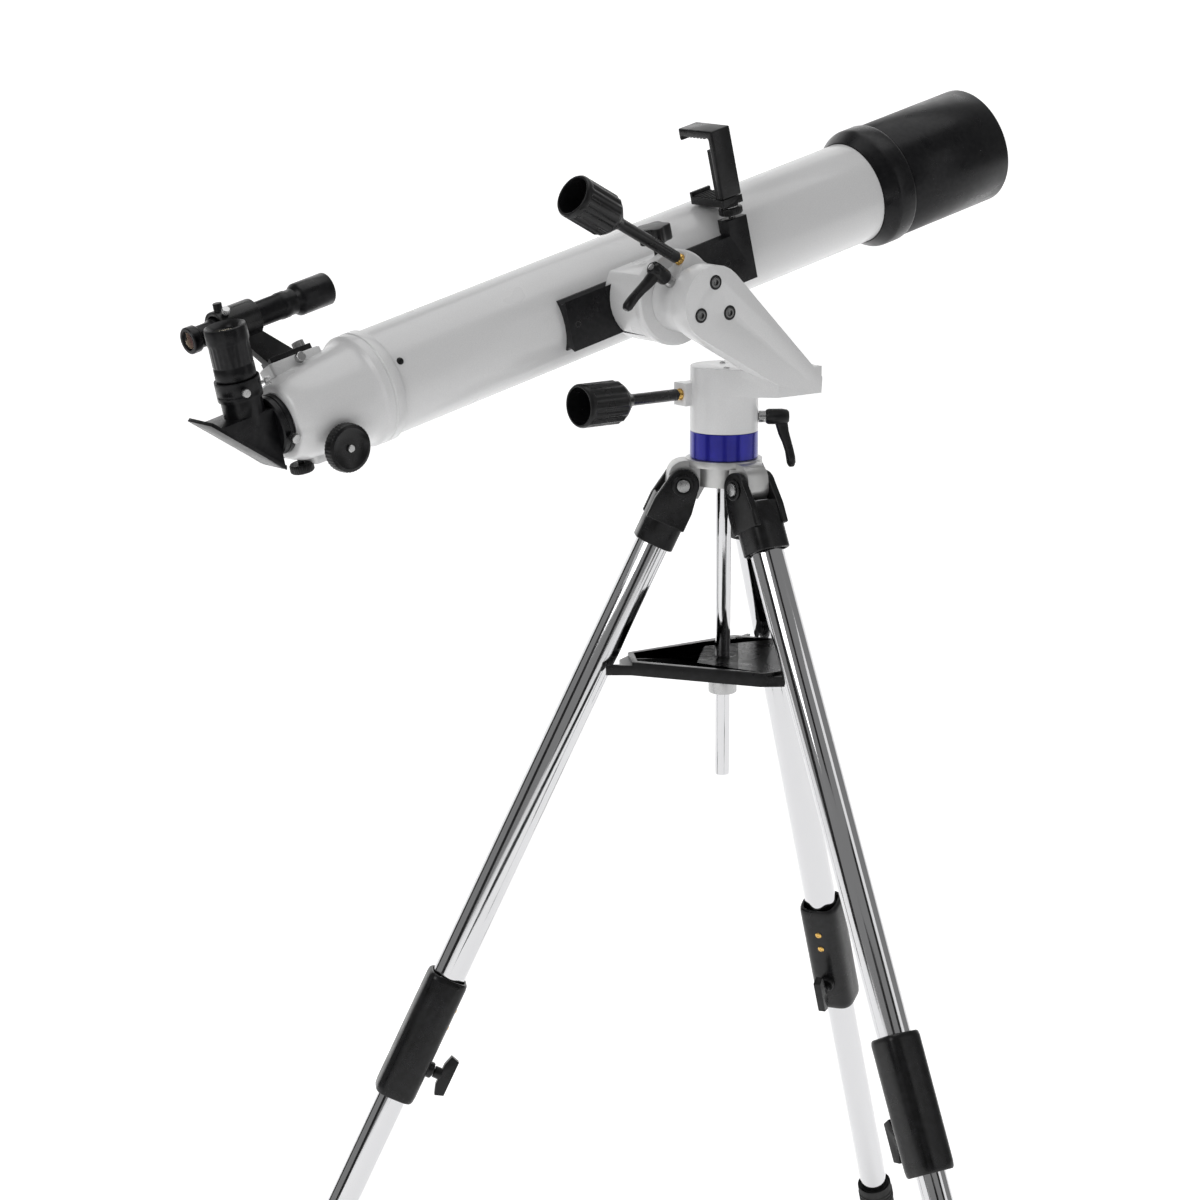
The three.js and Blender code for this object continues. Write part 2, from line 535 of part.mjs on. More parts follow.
function finderBracket() {
  const place = at(ALONG_X, 0, FINDER.y, FINDER.v);
  const cradle = join(pipe(16, 12.6, -376, -338, place), disc(4, 14, 22, at(UPRIGHT, -369, FINDER.y, FINDER.v), SMALL));
  const stem = prism([[-362, 80], [-340, 80], [-316, 50], [-316, 47.3], [-345, 47.3]], -4, 4,
    LEAN.clone().multiply(ARM_SIDE));
  const foot = box(-346, -304, -9, 9, 47.3, 52, LEAN);
  const screwHole = disc(2.6, 48.5, 53, at(LEAN, -310, 0, 0), SMALL);
  return cut(join(cradle, stem, foot), disc(12.6, -380, -330, place), screwHole);
}

function finderThumbNut() {
  const place = at(LEAN, -310, 0, 0);
  return join(disc(2.3, 48.8, 53, place, SMALL), prism(lobed(5.4, 0.5, 12, 2), 52.3, 58, place));
}

function clampBody() {
  const { u, half, near, far, base, studY } = CLAMP;
  const place = at(UPRIGHT, u, studY, 0);
  const jaw = box(u - half, u + half, near, far, base, base + 7);
  const lip = box(u - half, u + half, far - 3, far, base + 6, base + 11);
  const rail = box(u - half + 2, u + half - 2, near + 6.6, near + 12.6, base + 6, base + 52);
  const neck = disc(7.5, base - 2, base + 1, place, 24);
  return join(jaw, lip, rail, neck);
}

function clampJaw() {
  const { u, half, near, far, base, top } = CLAMP;
  const cover = box(u - half, u + half, near, near + 6.3, base + 7 + GAP, top);
  const jaw = box(u - half, u + half, near, far, top - 7, top);
  const lip = box(u - half, u + half, far - 3, far, top - 11, top - 6);
  return join(cover, jaw, lip);
}

function makeOpticalTube(tube) {
  piece(tube, 'saddle', saddleBlock(), 'pearl');
  piece(tube, 'saddle_knob', saddleKnob(), 'black');
  piece(tube, 'main_tube', pipe(TUBE.r, TUBE.bore, TUBE.rear, TUBE.front, ALONG_X, FINE), 'pearl');
  piece(tube, 'dovetail_bar', dovetailBar(), 'anodised');
  piece(tube, 'lens_cell', lensCell(), 'black');
  piece(tube, 'dew_shield', dewShield(), 'black');
  piece(tube, 'objective_lens_rear', objectiveLens([301.5, 301.5], [309.5, 305], 45.1), 'glass');
  piece(tube, 'objective_lens_front', objectiveLens([310.5, 306], [313, 319], 45.1), 'glass');
  piece(tube, 'focuser_housing', focuserHousing(), 'pearl');
  piece(tube, 'drawtube', drawtube(), 'anodised');
  piece(tube, 'pinion_shaft', disc(PINION.r, -54, 54, at(ALONG_Y, PINION.u, 0, PINION.v), SMALL), 'steel');
  piece(tube, 'focus_knob_right', focusKnob(-1), 'black');
  piece(tube, 'focus_knob_left', focusKnob(1), 'black');
  piece(tube, 'focus_lock_knob', focusLock(), 'black');
  piece(tube, 'star_diagonal', starDiagonal(), 'black');
  piece(tube, 'eyepiece', eyepiece(), 'anodised');
  piece(tube, 'finder_bracket', finderBracket(), 'black');
  piece(tube, 'finder_scope', finderScope(), 'anodised');
  piece(tube, 'finder_thumb_nut', finderThumbNut(), 'steel');
  piece(tube, 'phone_clamp_stud', disc(2.8, 30.3, 47, at(UPRIGHT, CLAMP.u, CLAMP.studY, 0), SMALL), 'steel');
  piece(tube, 'phone_clamp_ring_nut', cut(prism(lobed(10.8, 0.8, 16, 4), 39.5, 45.6,
    at(UPRIGHT, CLAMP.u, CLAMP.studY, 0)), disc(3.1, 38, 47, at(UPRIGHT, CLAMP.u, CLAMP.studY, 0), SMALL)), 'black');
  piece(tube, 'phone_clamp_body', cut(clampBody(),
    disc(3.1, CLAMP.base - 3, CLAMP.base, at(UPRIGHT, CLAMP.u, CLAMP.studY, 0), SMALL)), 'black');
  piece(tube, 'phone_clamp_jaw', clampJaw(), 'black');
}

function makeMount(head) {
  piece(head, 'azimuth_housing', azimuthHousing(), 'pearl');
  piece(head, 'azimuth_worm_shaft', wormShaft(-AZ_WORM.face, AZ_WORM_PLACE), 'brass');
  piece(head, 'azimuth_knob', controlKnob(-AZ_WORM.face + 4, 52, AZ_WORM_PLACE), 'black');
  piece(head, 'azimuth_clamp_lever', clampLever(10.5, MOUNT_R + GAP,
    leverPlace([0, 0, AZ_LEVER_Z], AZ_LEVER, Z.clone().negate())), 'black');
  piece(head, 'altitude_housing', altitudeHousing(), 'pearl');
  piece(head, 'altitude_worm_shaft', wormShaft(ALT_WORM.face, ALT_WORM_PLACE), 'brass');
  piece(head, 'altitude_knob', controlKnob(ALT_WORM.face + 4, 72, ALT_WORM_PLACE), 'black');
  piece(head, 'altitude_clamp_lever', clampLever(21.8, ALT.housingR + GAP, ALT_LEVER_PLACE), 'black');
  piece(head, 'altitude_shaft', altitudeShaft(), 'pearl');
  piece(head, 'altitude_worm_wheel', pipe(ALT_WORM.wheelR, 10.3, ALT.wheelY - 5, ALT.wheelY + 5,
    at(ALONG_Y, ALT.x, 0, ALT.z)), 'brass');
}

// ---------------------------------------------------------------- assembly
const telescope = new THREE.Group();
const tripod = group(telescope, [...TRIPOD_AXIS, 0]);
LEG_AZIMUTHS.forEach((azimuth, i) => makeLeg(tripod, i + 1, azimuth));
const column = group(tripod, [0, 0, BASE_Z]);
piece(column, 'tripod_hub', tripodHub(), 'satin');
piece(column, 'centre_rod', disc(ROD.r, ROD.bottom, ROD.top), 'chrome');
piece(column, 'tray', accessoryTray(), 'black');
piece(column, 'tray_lock_knob', lockKnob(), 'steel');
piece(column, 'azimuth_base', azimuthBase(), 'blue');
piece(column, 'azimuth_worm_wheel', pipe(AZ_WORM.wheelR, 8.8, AZ_WORM.z - 4, AZ_WORM.z + 4), 'brass');

const head = group(column, [0, 0, 0], Z, HEAD_AZIMUTH);
makeMount(head);
const drop = TUBE.axisDrop;
const tube = group(head, [ALT.x + drop * Math.sin(rad(TUBE_ALTITUDE)), TUBE.y,
  ALT.z - drop * Math.cos(rad(TUBE_ALTITUDE))], Y, -TUBE_ALTITUDE);
makeOpticalTube(tube);

export default telescope;
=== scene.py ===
import json
import math
import bpy
import bmesh
from mathutils import Matrix, Vector


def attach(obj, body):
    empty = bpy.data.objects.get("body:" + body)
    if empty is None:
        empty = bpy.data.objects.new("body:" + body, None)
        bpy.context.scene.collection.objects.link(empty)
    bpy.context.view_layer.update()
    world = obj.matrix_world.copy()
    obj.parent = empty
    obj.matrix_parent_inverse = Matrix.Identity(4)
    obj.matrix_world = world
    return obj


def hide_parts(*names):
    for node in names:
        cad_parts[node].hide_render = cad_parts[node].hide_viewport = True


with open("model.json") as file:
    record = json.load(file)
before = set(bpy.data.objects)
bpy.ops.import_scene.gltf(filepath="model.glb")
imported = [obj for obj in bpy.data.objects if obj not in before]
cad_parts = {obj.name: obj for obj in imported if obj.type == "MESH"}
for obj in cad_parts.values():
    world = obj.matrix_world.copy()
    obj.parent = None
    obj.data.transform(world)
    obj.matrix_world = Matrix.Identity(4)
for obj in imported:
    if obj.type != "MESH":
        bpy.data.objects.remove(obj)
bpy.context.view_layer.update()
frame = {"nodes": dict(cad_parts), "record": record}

# Everything below is written in millimetres in a part's own frame. MM turns it into metres.
MM = Matrix.Scale(0.001, 4)
COLUMN_X, BASE_Z = 88.35, 842.0
PIVOT_RADIUS, PIVOT_Z = 38.0, 820.0
LEG_AZIMUTHS = (180, 300, 60)
LEG_ANGLE = 25.0
UPPER_LEG_R, UPPER_LEG_TOP, UPPER_LEG_END = 15.0, -15.0, -565.0
LOWER_LEG_R, LOWER_LEG_TOP, LOWER_LEG_END = 13.1, -300.0, -884.0
EAR_R, EAR_INNER, EAR_OUTER = 14.5, 11.5, 18.2     # the two ears of a leg bracket
BOLT_SEAT = 18.8
BRACKET_HALF, COLLAR_HALF = 17.9, 18.7
SQUARENESS = 3.4                  # superellipse power of the brackets and collars
FOOT_RIBS = (868, 872, 876)
ROD_R, ROD_END, ROD_FLAT = 7.1, -286.6, 5.9
BASE_R, BASE_TOP = 30.0, 24.0
HEAD_AZIMUTH = 32.4
ALT_X, ALT_Z = -55.8, 145.7
TUBE_ALTITUDE, AXIS_DROP, TUBE_Y = 13.52, 3.34, 94.0
AZ_WORM_Y, AZ_WORM_Z, AZ_WORM_FACE = 19.5, 56.5, 34.0
ALT_WORM_Y, ALT_WORM_OFFSET, ALT_WORM_TILT, ALT_WORM_FACE = -19.0, 26.0, 28.4, 25.5
AZ_LEVER_ANGLE, AZ_LEVER_Z = -37.9, 36.0
ALT_LEVER_ANGLE, ALT_LEVER_Y = 145.0, -24.0
KNOB_CUP_R, KNOB_BORE, KNOB_CONE = 19.2, 16.4, 13
FLANGE_R = 41.8
ARM_FACE, ARM_SCREW_CIRCLE = 55.0, 18.2
TUBE_BORE, TUBE_R = 45.2, 46.8
TUBE_REAR, TUBE_FRONT = -262.0, 289.0
SHIELD_BACK, SHIELD_FRONT = 322.0, 441.0
FOCUSER_REAR = -360.0
PINION_U, PINION_V = -328.0, -27.0
EYEPIECE_U, BARREL_R = -390.0, 15.8      # the barrel fits the standard 1.25 inch holder
FINDER_Y, FINDER_V, FINDER_LEAN = 40.0, 82.0, 26.0
CLAMP_U, CLAMP_Y = 113.0, -47.0
SHARP = math.radians(40)          # an edge that bends more than this stays crisp


# ---------------------------------------------------------------- frames
def turn(degrees, axis):
    return Matrix.Rotation(math.radians(degrees), 4, axis)


def move(x, y, z):
    return Matrix.Translation((x, y, z))


def facing(origin, z_axis, x_axis):
    z = Vector(z_axis).normalized()
    y = z.cross(Vector(x_axis)).normalized()
    x = y.cross(z)
    basis = Matrix((x, y, z)).transposed().to_4x4()
    return Matrix.Translation(origin) @ basis


COLUMN = MM @ move(COLUMN_X, 0, BASE_Z)
HEAD = COLUMN @ turn(HEAD_AZIMUTH, "Z")
TUBE_DROP = math.radians(TUBE_ALTITUDE)
TUBE = (HEAD @ move(ALT_X + AXIS_DROP * math.sin(TUBE_DROP), TUBE_Y,
                    ALT_Z - AXIS_DROP * math.cos(TUBE_DROP)) @ turn(-TUBE_ALTITUDE, "Y"))
ALONG_X = facing((0, 0, 0), (1, 0, 0), (0, 0, -1))
ALONG_Y = facing((0, 0, 0), (0, 1, 0), (1, 0, 0))
LEGS = [MM @ move(COLUMN_X, 0, 0) @ turn(azimuth, "Z") @ move(PIVOT_RADIUS, 0, PIVOT_Z)
        @ turn(-LEG_ANGLE, "Y") for azimuth in LEG_AZIMUTHS]
AZ_WORM = HEAD @ facing((0, AZ_WORM_Y, AZ_WORM_Z), (-1, 0, 0), (0, 0, 1))


def altitude_worm_frame():
    tilt = math.radians(ALT_WORM_TILT)
    normal = Vector((math.sin(tilt), 0, math.cos(tilt)))
    origin = Vector((ALT_X, ALT_WORM_Y, ALT_Z)) + ALT_WORM_OFFSET * normal
    return HEAD @ facing(origin, (-math.cos(tilt), 0, math.sin(tilt)), normal)


def azimuth_lever_frame():
    angle = math.radians(AZ_LEVER_ANGLE)
    return HEAD @ facing((0, 0, AZ_LEVER_Z), (math.cos(angle), math.sin(angle), 0), (0, 0, 1))


def altitude_lever_frame():
    angle = math.radians(ALT_LEVER_ANGLE)
    return HEAD @ facing((ALT_X, ALT_LEVER_Y, ALT_Z), (math.cos(angle), 0, math.sin(angle)),
                         (math.sin(angle), 0, -math.cos(angle)))


ALT_WORM = altitude_worm_frame()
AZ_LEVER = azimuth_lever_frame()
ALT_LEVER = altitude_lever_frame()


# ---------------------------------------------------------------- materials
def node(tree, kind, **inputs):
    made = tree.nodes.new(kind)
    for name, value in inputs.items():
        made.inputs[name.replace("_", " ")].default_value = value
    return made


def surface(name, color, roughness, metallic=0.0, coat=0.0):
    """A principled material, its node tree and its shader, with object coordinates ready."""
    made = bpy.data.materials.new(name)
    made.use_nodes = True
    tree = made.node_tree
    shader = tree.nodes["Principled BSDF"]
    shader.inputs["Base Color"].default_value = (*color, 1)
    shader.inputs["Roughness"].default_value = roughness
    shader.inputs["Metallic"].default_value = metallic
    shader.inputs["Coat Weight"].default_value = coat
    shader.inputs["Coat Roughness"].default_value = 0.08
    return made, tree, shader


def textured(tree, scale, stretch=(1, 1, 1), detail=3.0):
    coordinates = tree.nodes.new("ShaderNodeTexCoord")
    mapping = node(tree, "ShaderNodeMapping", Scale=stretch)
    noise = node(tree, "ShaderNodeTexNoise", Scale=scale, Detail=detail)
    tree.links.new(coordinates.outputs["Object"], mapping.inputs["Vector"])
    tree.links.new(mapping.outputs["Vector"], noise.inputs["Vector"])
    return noise.outputs["Fac"]


def add_bump(tree, shader, height, strength, distance):
    bump = node(tree, "ShaderNodeBump", Strength=strength, Distance=distance)
    tree.links.new(height, bump.inputs["Height"])
    tree.links.new(bump.outputs["Normal"], shader.inputs["Normal"])


def vary_roughness(tree, shader, source, low, high):
    spread = node(tree, "ShaderNodeMapRange", From_Min=0.3, From_Max=0.7, To_Min=low, To_Max=high)
    tree.links.new(source, spread.inputs["Value"])
    tree.links.new(spread.outputs["Result"], shader.inputs["Roughness"])


def vary_color(tree, shader, source, first, second):
    blend = tree.nodes.new("ShaderNodeValToRGB")
    blend.color_ramp.elements[0].position = 0.35
    blend.color_ramp.elements[0].color = (*first, 1)
    blend.color_ramp.elements[1].position = 0.65
    blend.color_ramp.elements[1].color = (*second, 1)
    tree.links.new(source, blend.inputs["Fac"])
    tree.links.new(blend.outputs["Color"], shader.inputs["Base Color"])


def pearl_paint():
    made, tree, shader = surface("pearl_paint", (0.8, 0.8, 0.8), 0.3, 0.0, 0.35)
    add_bump(tree, shader, textured(tree, 900), 0.12, 0.0002)
    vary_roughness(tree, shader, textured(tree, 14), 0.26, 0.36)
    vary_color(tree, shader, textured(tree, 2600, detail=1.0), (0.63, 0.63, 0.635), (0.72, 0.72, 0.72))
    return made


def cast_silver():
    made, tree, shader = surface("cast_silver", (0.55, 0.55, 0.54), 0.36, 0.75)
    add_bump(tree, shader, textured(tree, 700), 0.25, 0.0002)
    vary_color(tree, shader, textured(tree, 60), (0.50, 0.50, 0.50), (0.58, 0.58, 0.57))
    return made


def blue_anodised():
    made, tree, shader = surface("blue_anodised", (0.012, 0.012, 0.30), 0.26, 0.55, 0.3)
    add_bump(tree, shader, textured(tree, 90, (1, 1, 40)), 0.10, 0.0001)
    vary_color(tree, shader, textured(tree, 40), (0.010, 0.010, 0.25), (0.016, 0.016, 0.34))
    return made


def black_plastic():
    made, tree, shader = surface("black_plastic", (0.008, 0.008, 0.009), 0.28)
    add_bump(tree, shader, textured(tree, 1300), 0.16, 0.0002)
    vary_roughness(tree, shader, textured(tree, 45), 0.22, 0.36)
    vary_color(tree, shader, textured(tree, 150), (0.004, 0.004, 0.004), (0.009, 0.009, 0.010))
    shader.inputs["Specular IOR Level"].default_value = 0.3
    return made


def black_anodised():
    made, tree, shader = surface("black_anodised", (0.014, 0.014, 0.016), 0.3, 0.3)
    add_bump(tree, shader, textured(tree, 1600), 0.10, 0.0001)
    vary_roughness(tree, shader, textured(tree, 60), 0.25, 0.36)
    vary_color(tree, shader, textured(tree, 220), (0.005, 0.005, 0.006), (0.010, 0.010, 0.011))
    shader.inputs["Specular IOR Level"].default_value = 0.3
    return made


def chrome_plate():
    made, tree, shader = surface("chrome_plate", (0.66, 0.66, 0.67), 0.07, 1.0)
    add_bump(tree, shader, textured(tree, 260, (1, 1, 0.02)), 0.03, 0.0001)
    vary_roughness(tree, shader, textured(tree, 22), 0.05, 0.12)
    return made


def turned_steel():
    made, tree, shader = surface("turned_steel", (0.46, 0.46, 0.46), 0.26, 1.0)
    add_bump(tree, shader, textured(tree, 300, (1, 1, 8)), 0.12, 0.0001)
    vary_roughness(tree, shader, textured(tree, 120), 0.2, 0.34)
    return made


def dark_steel():
    made, tree, shader = surface("dark_steel", (0.16, 0.16, 0.16), 0.28, 1.0)
    add_bump(tree, shader, textured(tree, 300, (1, 1, 8)), 0.12, 0.0001)
    vary_roughness(tree, shader, textured(tree, 120), 0.22, 0.36)
    return made


def turned_brass():
    made, tree, shader = surface("turned_brass", (0.72, 0.45, 0.13), 0.24, 1.0)
    add_bump(tree, shader, textured(tree, 300, (1, 1, 8)), 0.12, 0.0001)
    vary_roughness(tree, shader, textured(tree, 150), 0.18, 0.34)
    return made


def black_rubber():
    made, tree, shader = surface("black_rubber", (0.014, 0.014, 0.014), 0.72)
    add_bump(tree, shader, textured(tree, 1500), 0.4, 0.0003)
    vary_color(tree, shader, textured(tree, 90), (0.010, 0.010, 0.010), (0.024, 0.024, 0.024))
    return made


def matt_black():
    made, tree, shader = surface("matt_black", (0.006, 0.006, 0.006), 0.85)
    add_bump(tree, shader, textured(tree, 2200), 0.3, 0.0002)
    vary_color(tree, shader, textured(tree, 300), (0.004, 0.004, 0.004), (0.009, 0.009, 0.009))
    return made


def coated_glass():
    made, tree, shader = surface("coated_glass", (0.80, 0.92, 0.96), 0.02)
    shader.inputs["Transmission Weight"].default_value = 1.0
    shader.inputs["IOR"].default_value = 1.52
    shader.inputs["Thin Film Thickness"].default_value = 320.0
    shader.inputs["Thin Film IOR"].default_value = 1.38
    vary_roughness(tree, shader, textured(tree, 30), 0.01, 0.03)
    return made


PAINT = pearl_paint()
SILVER = cast_silver()
BLUE = blue_anodised()
PLASTIC = black_plastic()
ANODISED = black_anodised()
CHROME = chrome_plate()
STEEL = turned_steel()
DARK_STEEL = dark_steel()
BRASS = turned_brass()
RUBBER = black_rubber()
MATT = matt_black()
GLASS = coated_glass()
SLOT_MATERIALS = {
    "white_paint": PAINT, "silver_casting": SILVER, "blue_anodised": BLUE,
    "black_plastic": PLASTIC, "black_anodised": ANODISED, "chrome": CHROME,
    "steel": STEEL, "brass": BRASS, "rubber": RUBBER, "lens_glass": GLASS,
}
SLOT_OF = {material: slot for slot, material in SLOT_MATERIALS.items()}
SLOT_OF[MATT] = "black_anodised"
SLOT_OF[DARK_STEEL] = "steel"


# ---------------------------------------------------------------- mesh building
def smoothing_group():
    """Shades a mesh smooth, except across its sharp edges."""
    tree = bpy.data.node_groups.new("smooth_by_angle", "GeometryNodeTree")
    tree.interface.new_socket("Geometry", in_out="INPUT", socket_type="NodeSocketGeometry")
    tree.interface.new_socket("Geometry", in_out="OUTPUT", socket_type="NodeSocketGeometry")
    start = tree.nodes.new("NodeGroupInput")
    end = tree.nodes.new("NodeGroupOutput")
    angle = tree.nodes.new("GeometryNodeInputMeshEdgeAngle")
    below = tree.nodes.new("FunctionNodeCompare")
    below.operation = "LESS_THAN"
    below.inputs["B"].default_value = SHARP
    faces = tree.nodes.new("GeometryNodeSetShadeSmooth")
    edges = tree.nodes.new("GeometryNodeSetShadeSmooth")
    faces.domain = "FACE"
    edges.domain = "EDGE"
    link = tree.links.new
    link(start.outputs[0], faces.inputs["Geometry"])
    link(faces.outputs[0], edges.inputs["Geometry"])
    link(angle.outputs["Unsigned Angle"], below.inputs["A"])
    link(below.outputs[0], edges.inputs["Shade Smooth"])
    link(edges.outputs[0], end.inputs[0])
    return tree


SMOOTHING = smoothing_group()


def soften(obj, bevel, segments=3, weld=False):
    """Rounds the sharp edges by bevel millimetres and shades the rest smooth."""
    if weld:
        obj.modifiers.new("weld", "WELD").merge_threshold = 0.00001
        planar = obj.modifiers.new("planar", "DECIMATE")
        planar.decimate_type = "DISSOLVE"
        planar.angle_limit = math.radians(1)
    if bevel:
        rounding = obj.modifiers.new("rounding", "BEVEL")
        rounding.width = bevel / 1000
        rounding.segments = segments
        rounding.limit_method = "ANGLE"
        rounding.angle_limit = SHARP
        rounding.miter_outer = "MITER_ARC"
    smooth = obj.modifiers.new("smooth", "NODES")
    smooth.node_group = SMOOTHING


def add_piece(name, points, faces, place, material, body, bevel=0.0, stands_for=()):
    mesh = bpy.data.meshes.new(name)
    mesh.from_pydata([place @ Vector(p) for p in points], [], faces)
    shape = bmesh.new()
    shape.from_mesh(mesh)
    bmesh.ops.recalc_face_normals(shape, faces=shape.faces)
    shape.to_mesh(mesh)
    shape.free()
    mesh.materials.append(material)
    made = bpy.data.objects.new(name, mesh)
    bpy.context.scene.collection.objects.link(made)
    soften(made, bevel)
    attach(made, body)
    if stands_for:
        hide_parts(*stands_for)
    return made


def turned(name, profile, place, material, body, bevel=0.0, steps=96, stands_for=(), ripple=None):
    """Revolves a [radius, height] profile about Z. Ends on the axis are capped there, and any
    other profile closes on itself. ripple(angle, radius, height) may change the radius."""
    points, rings = [], []
    for radius, height in profile:
        if radius == 0:
            rings.append([len(points)] * steps)
            points.append((0, 0, height))
            continue
        rings.append(list(range(len(points), len(points) + steps)))
        for i in range(steps):
            angle = 2 * math.pi * i / steps
            r = ripple(angle, radius, height) if ripple else radius
            points.append((r * math.cos(angle), r * math.sin(angle), height))
    closed = profile[0][0] != 0 or profile[-1][0] != 0
    pairs = list(zip(rings, rings[1:])) + ([(rings[-1], rings[0])] if closed else [])
    faces = []
    for low, high in pairs:
        for i in range(steps):
            j = (i + 1) % steps
            corners = [low[i], low[j], high[j], high[i]]
            faces.append(list(dict.fromkeys(corners)))
    return add_piece(name, points, faces, place, material, body, bevel, stands_for)


def pressed(name, outline, low, high, place, material, body, bevel=0.5, stands_for=()):
    """Extrudes an outline from low to high along Z."""
    count = len(outline)
    points = [(x, y, low) for x, y in outline] + [(x, y, high) for x, y in outline]
    faces = [list(range(count))[::-1], list(range(count, 2 * count))]
    faces += [[i, (i + 1) % count, count + (i + 1) % count, count + i] for i in range(count)]
    return add_piece(name, points, faces, place, material, body, bevel, stands_for)


def lofted(name, sections, place, material, body, steps=24, stands_for=()):
    """Skins superellipse sections (centre, across, up, half width, half height) with rounded ends."""
    points, faces = [], []
    for centre, across, up, width, height in sections:
        for i in range(steps):
            angle = 2 * math.pi * i / steps
            c, s = math.cos(angle), math.sin(angle)
            x = math.copysign(abs(c) ** 0.75, c) * width
            y = math.copysign(abs(s) ** 0.75, s) * height
            points.append(Vector(centre) + x * Vector(across) + y * Vector(up))
    for k in range(len(sections) - 1):
        for i in range(steps):
            j = (i + 1) % steps
            faces.append([k * steps + i, k * steps + j, (k + 1) * steps + j, (k + 1) * steps + i])
    faces.append(list(range(steps))[::-1])
    faces.append(list(range((len(sections) - 1) * steps, len(sections) * steps)))
    return add_piece(name, points, faces, place, material, body, 0.6, stands_for)


def rectangle(x0, x1, y0, y1):
    return [(x0, y0), (x1, y0), (x1, y1), (x0, y1)]


def rounded(x0, x1, y0, y1, r, steps=6):
    corners = ((x1 - r, y1 - r, 0), (x0 + r, y1 - r, 90), (x0 + r, y0 + r, 180), (x1 - r, y0 + r, 270))
    points = []
    for cx, cy, start in corners:
        for i in range(steps + 1):
            angle = math.radians(start + 90 * i / steps)
            points.append((cx + r * math.cos(angle), cy + r * math.sin(angle)))
    return points


def fluted(count, depth, sharpness=2.0):
    """A ripple of rounded ribs around a grip."""
    def ripple(angle, radius, height):
        return radius - depth * abs(math.cos(count * angle / 2)) ** sharpness
    return ripple


def socket_screw(name, place, radius, body, material=STEEL):
    """A cap screw with a hexagonal socket, its seat at local z = 0."""
    turned(name, [(0, 0), (radius, 0), (radius, radius * 0.55), (radius * 0.9, radius * 0.68),
                  (radius * 0.55, radius * 0.68), (radius * 0.55, radius * 0.25), (0, radius * 0.2)],
           place, material, body, 0.15, 48)


def thumb_screw(name, place, radius, length, stem, body, material=STEEL):
    """A knurled thumb screw standing on its stem, which starts at local z = 0."""
    turned(name, [(0, 0), (radius * 0.42, 0), (radius * 0.42, stem), (radius * 0.8, stem),
                  (radius, stem + 0.5), (radius, stem + length - 0.5), (radius * 0.85, stem + length),
                  (0, stem + length)],
           place, material, body, 0.0, 144,
           ripple=lambda angle, r, h: r - (0.05 * radius * abs(math.cos(18 * angle)) if r == radius else 0))


# ---------------------------------------------------------------- tripod
def tripod_legs():
    for k, leg in enumerate(LEGS, 1):
        body, lower = f"leg_{k}", f"lower_leg_{k}"
        leg_tube(f"upper_chrome_{k}", UPPER_LEG_R, 13.6, UPPER_LEG_END, UPPER_LEG_TOP, leg, body,
                 f"upper_leg_tube_{k}")
        leg_tube(f"lower_chrome_{k}", LOWER_LEG_R, 11.9, LOWER_LEG_END, LOWER_LEG_TOP, leg, lower,
                 f"lower_leg_tube_{k}")
        for side, tilt in (("near", 0), ("far", 180)):
            pivot_side(f"{k}_{side}", leg @ turn(tilt, "Z") @ ALONG_Y, body)
        leg_bracket(k, leg, body)
        leg_collar(k, leg, body)
        foot_ribs(k, leg, lower)


def leg_tube(name, radius, bore, end, top, leg, body, node_name):
    wall = [(bore, end), (radius, end), (radius, top), (bore, top)]
    turned(name, wall, leg, CHROME, body, 0.2, 96, [node_name])


def pivot_side(label, pivot, body):
    """A bolt head and the ring that it sits in, on one ear of a leg bracket."""
    face = pivot @ move(0, 0, BOLT_SEAT)
    turned(f"pivot_cap_{label}", [(0, 0), (5.7, 0), (5.7, 1.6), (4.9, 2.5), (2.8, 2.5), (2.8, 1), (0, 0.9)],
           face, STEEL, body, 0.15, 48)
    turned(f"pivot_ring_{label}", [(6.2, -0.2), (9.6, -0.2), (9.6, 0.6), (9.0, 1.0), (6.8, 1.0), (6.2, 0.6)],
           face, PLASTIC, body, 0.2, 64)


def squared(half):
    """A ripple that squares off the outer radii of a moulding. Radii well under half stay round."""
    thinnest_wall = 4

    def ripple(angle, radius, height):
        spread = abs(math.cos(angle)) ** SQUARENESS + abs(math.sin(angle)) ** SQUARENESS
        return radius * spread ** (-1 / SQUARENESS) if radius > half - thinnest_wall else radius
    return ripple


def leg_bracket(k, leg, body):
    """A moulded fork: a sleeve around the tube and two ears that hold the pivot bolt."""
    half, shoulder, low = 18, -20, -38
    crown = [math.radians(angle) for angle in range(0, 181, 12)]
    ear = [(-half, low), (half, low), (half, shoulder)]
    ear += [(EAR_R * math.cos(angle), EAR_R * math.sin(angle)) for angle in crown]
    ear += [(-half, shoulder)]
    across = leg @ facing((0, 0, 0), (0, -1, 0), (1, 0, 0))
    pressed(f"bracket_ear_near_{k}", ear, EAR_INNER, EAR_OUTER, across, PLASTIC, body, 1.4,
            [f"leg_bracket_{k}"])
    pressed(f"bracket_ear_far_{k}", ear, -EAR_OUTER, -EAR_INNER, across, PLASTIC, body, 1.4)
    sleeve = [(15.3, -59), (17.2, -59), (BRACKET_HALF, -58.2), (BRACKET_HALF, low), (BRACKET_HALF, -17),
              (17.2, -16), (15.3, -16)]
    turned(f"bracket_sleeve_{k}", sleeve, leg, PLASTIC, body, 0.3, 96, ripple=squared(BRACKET_HALF))


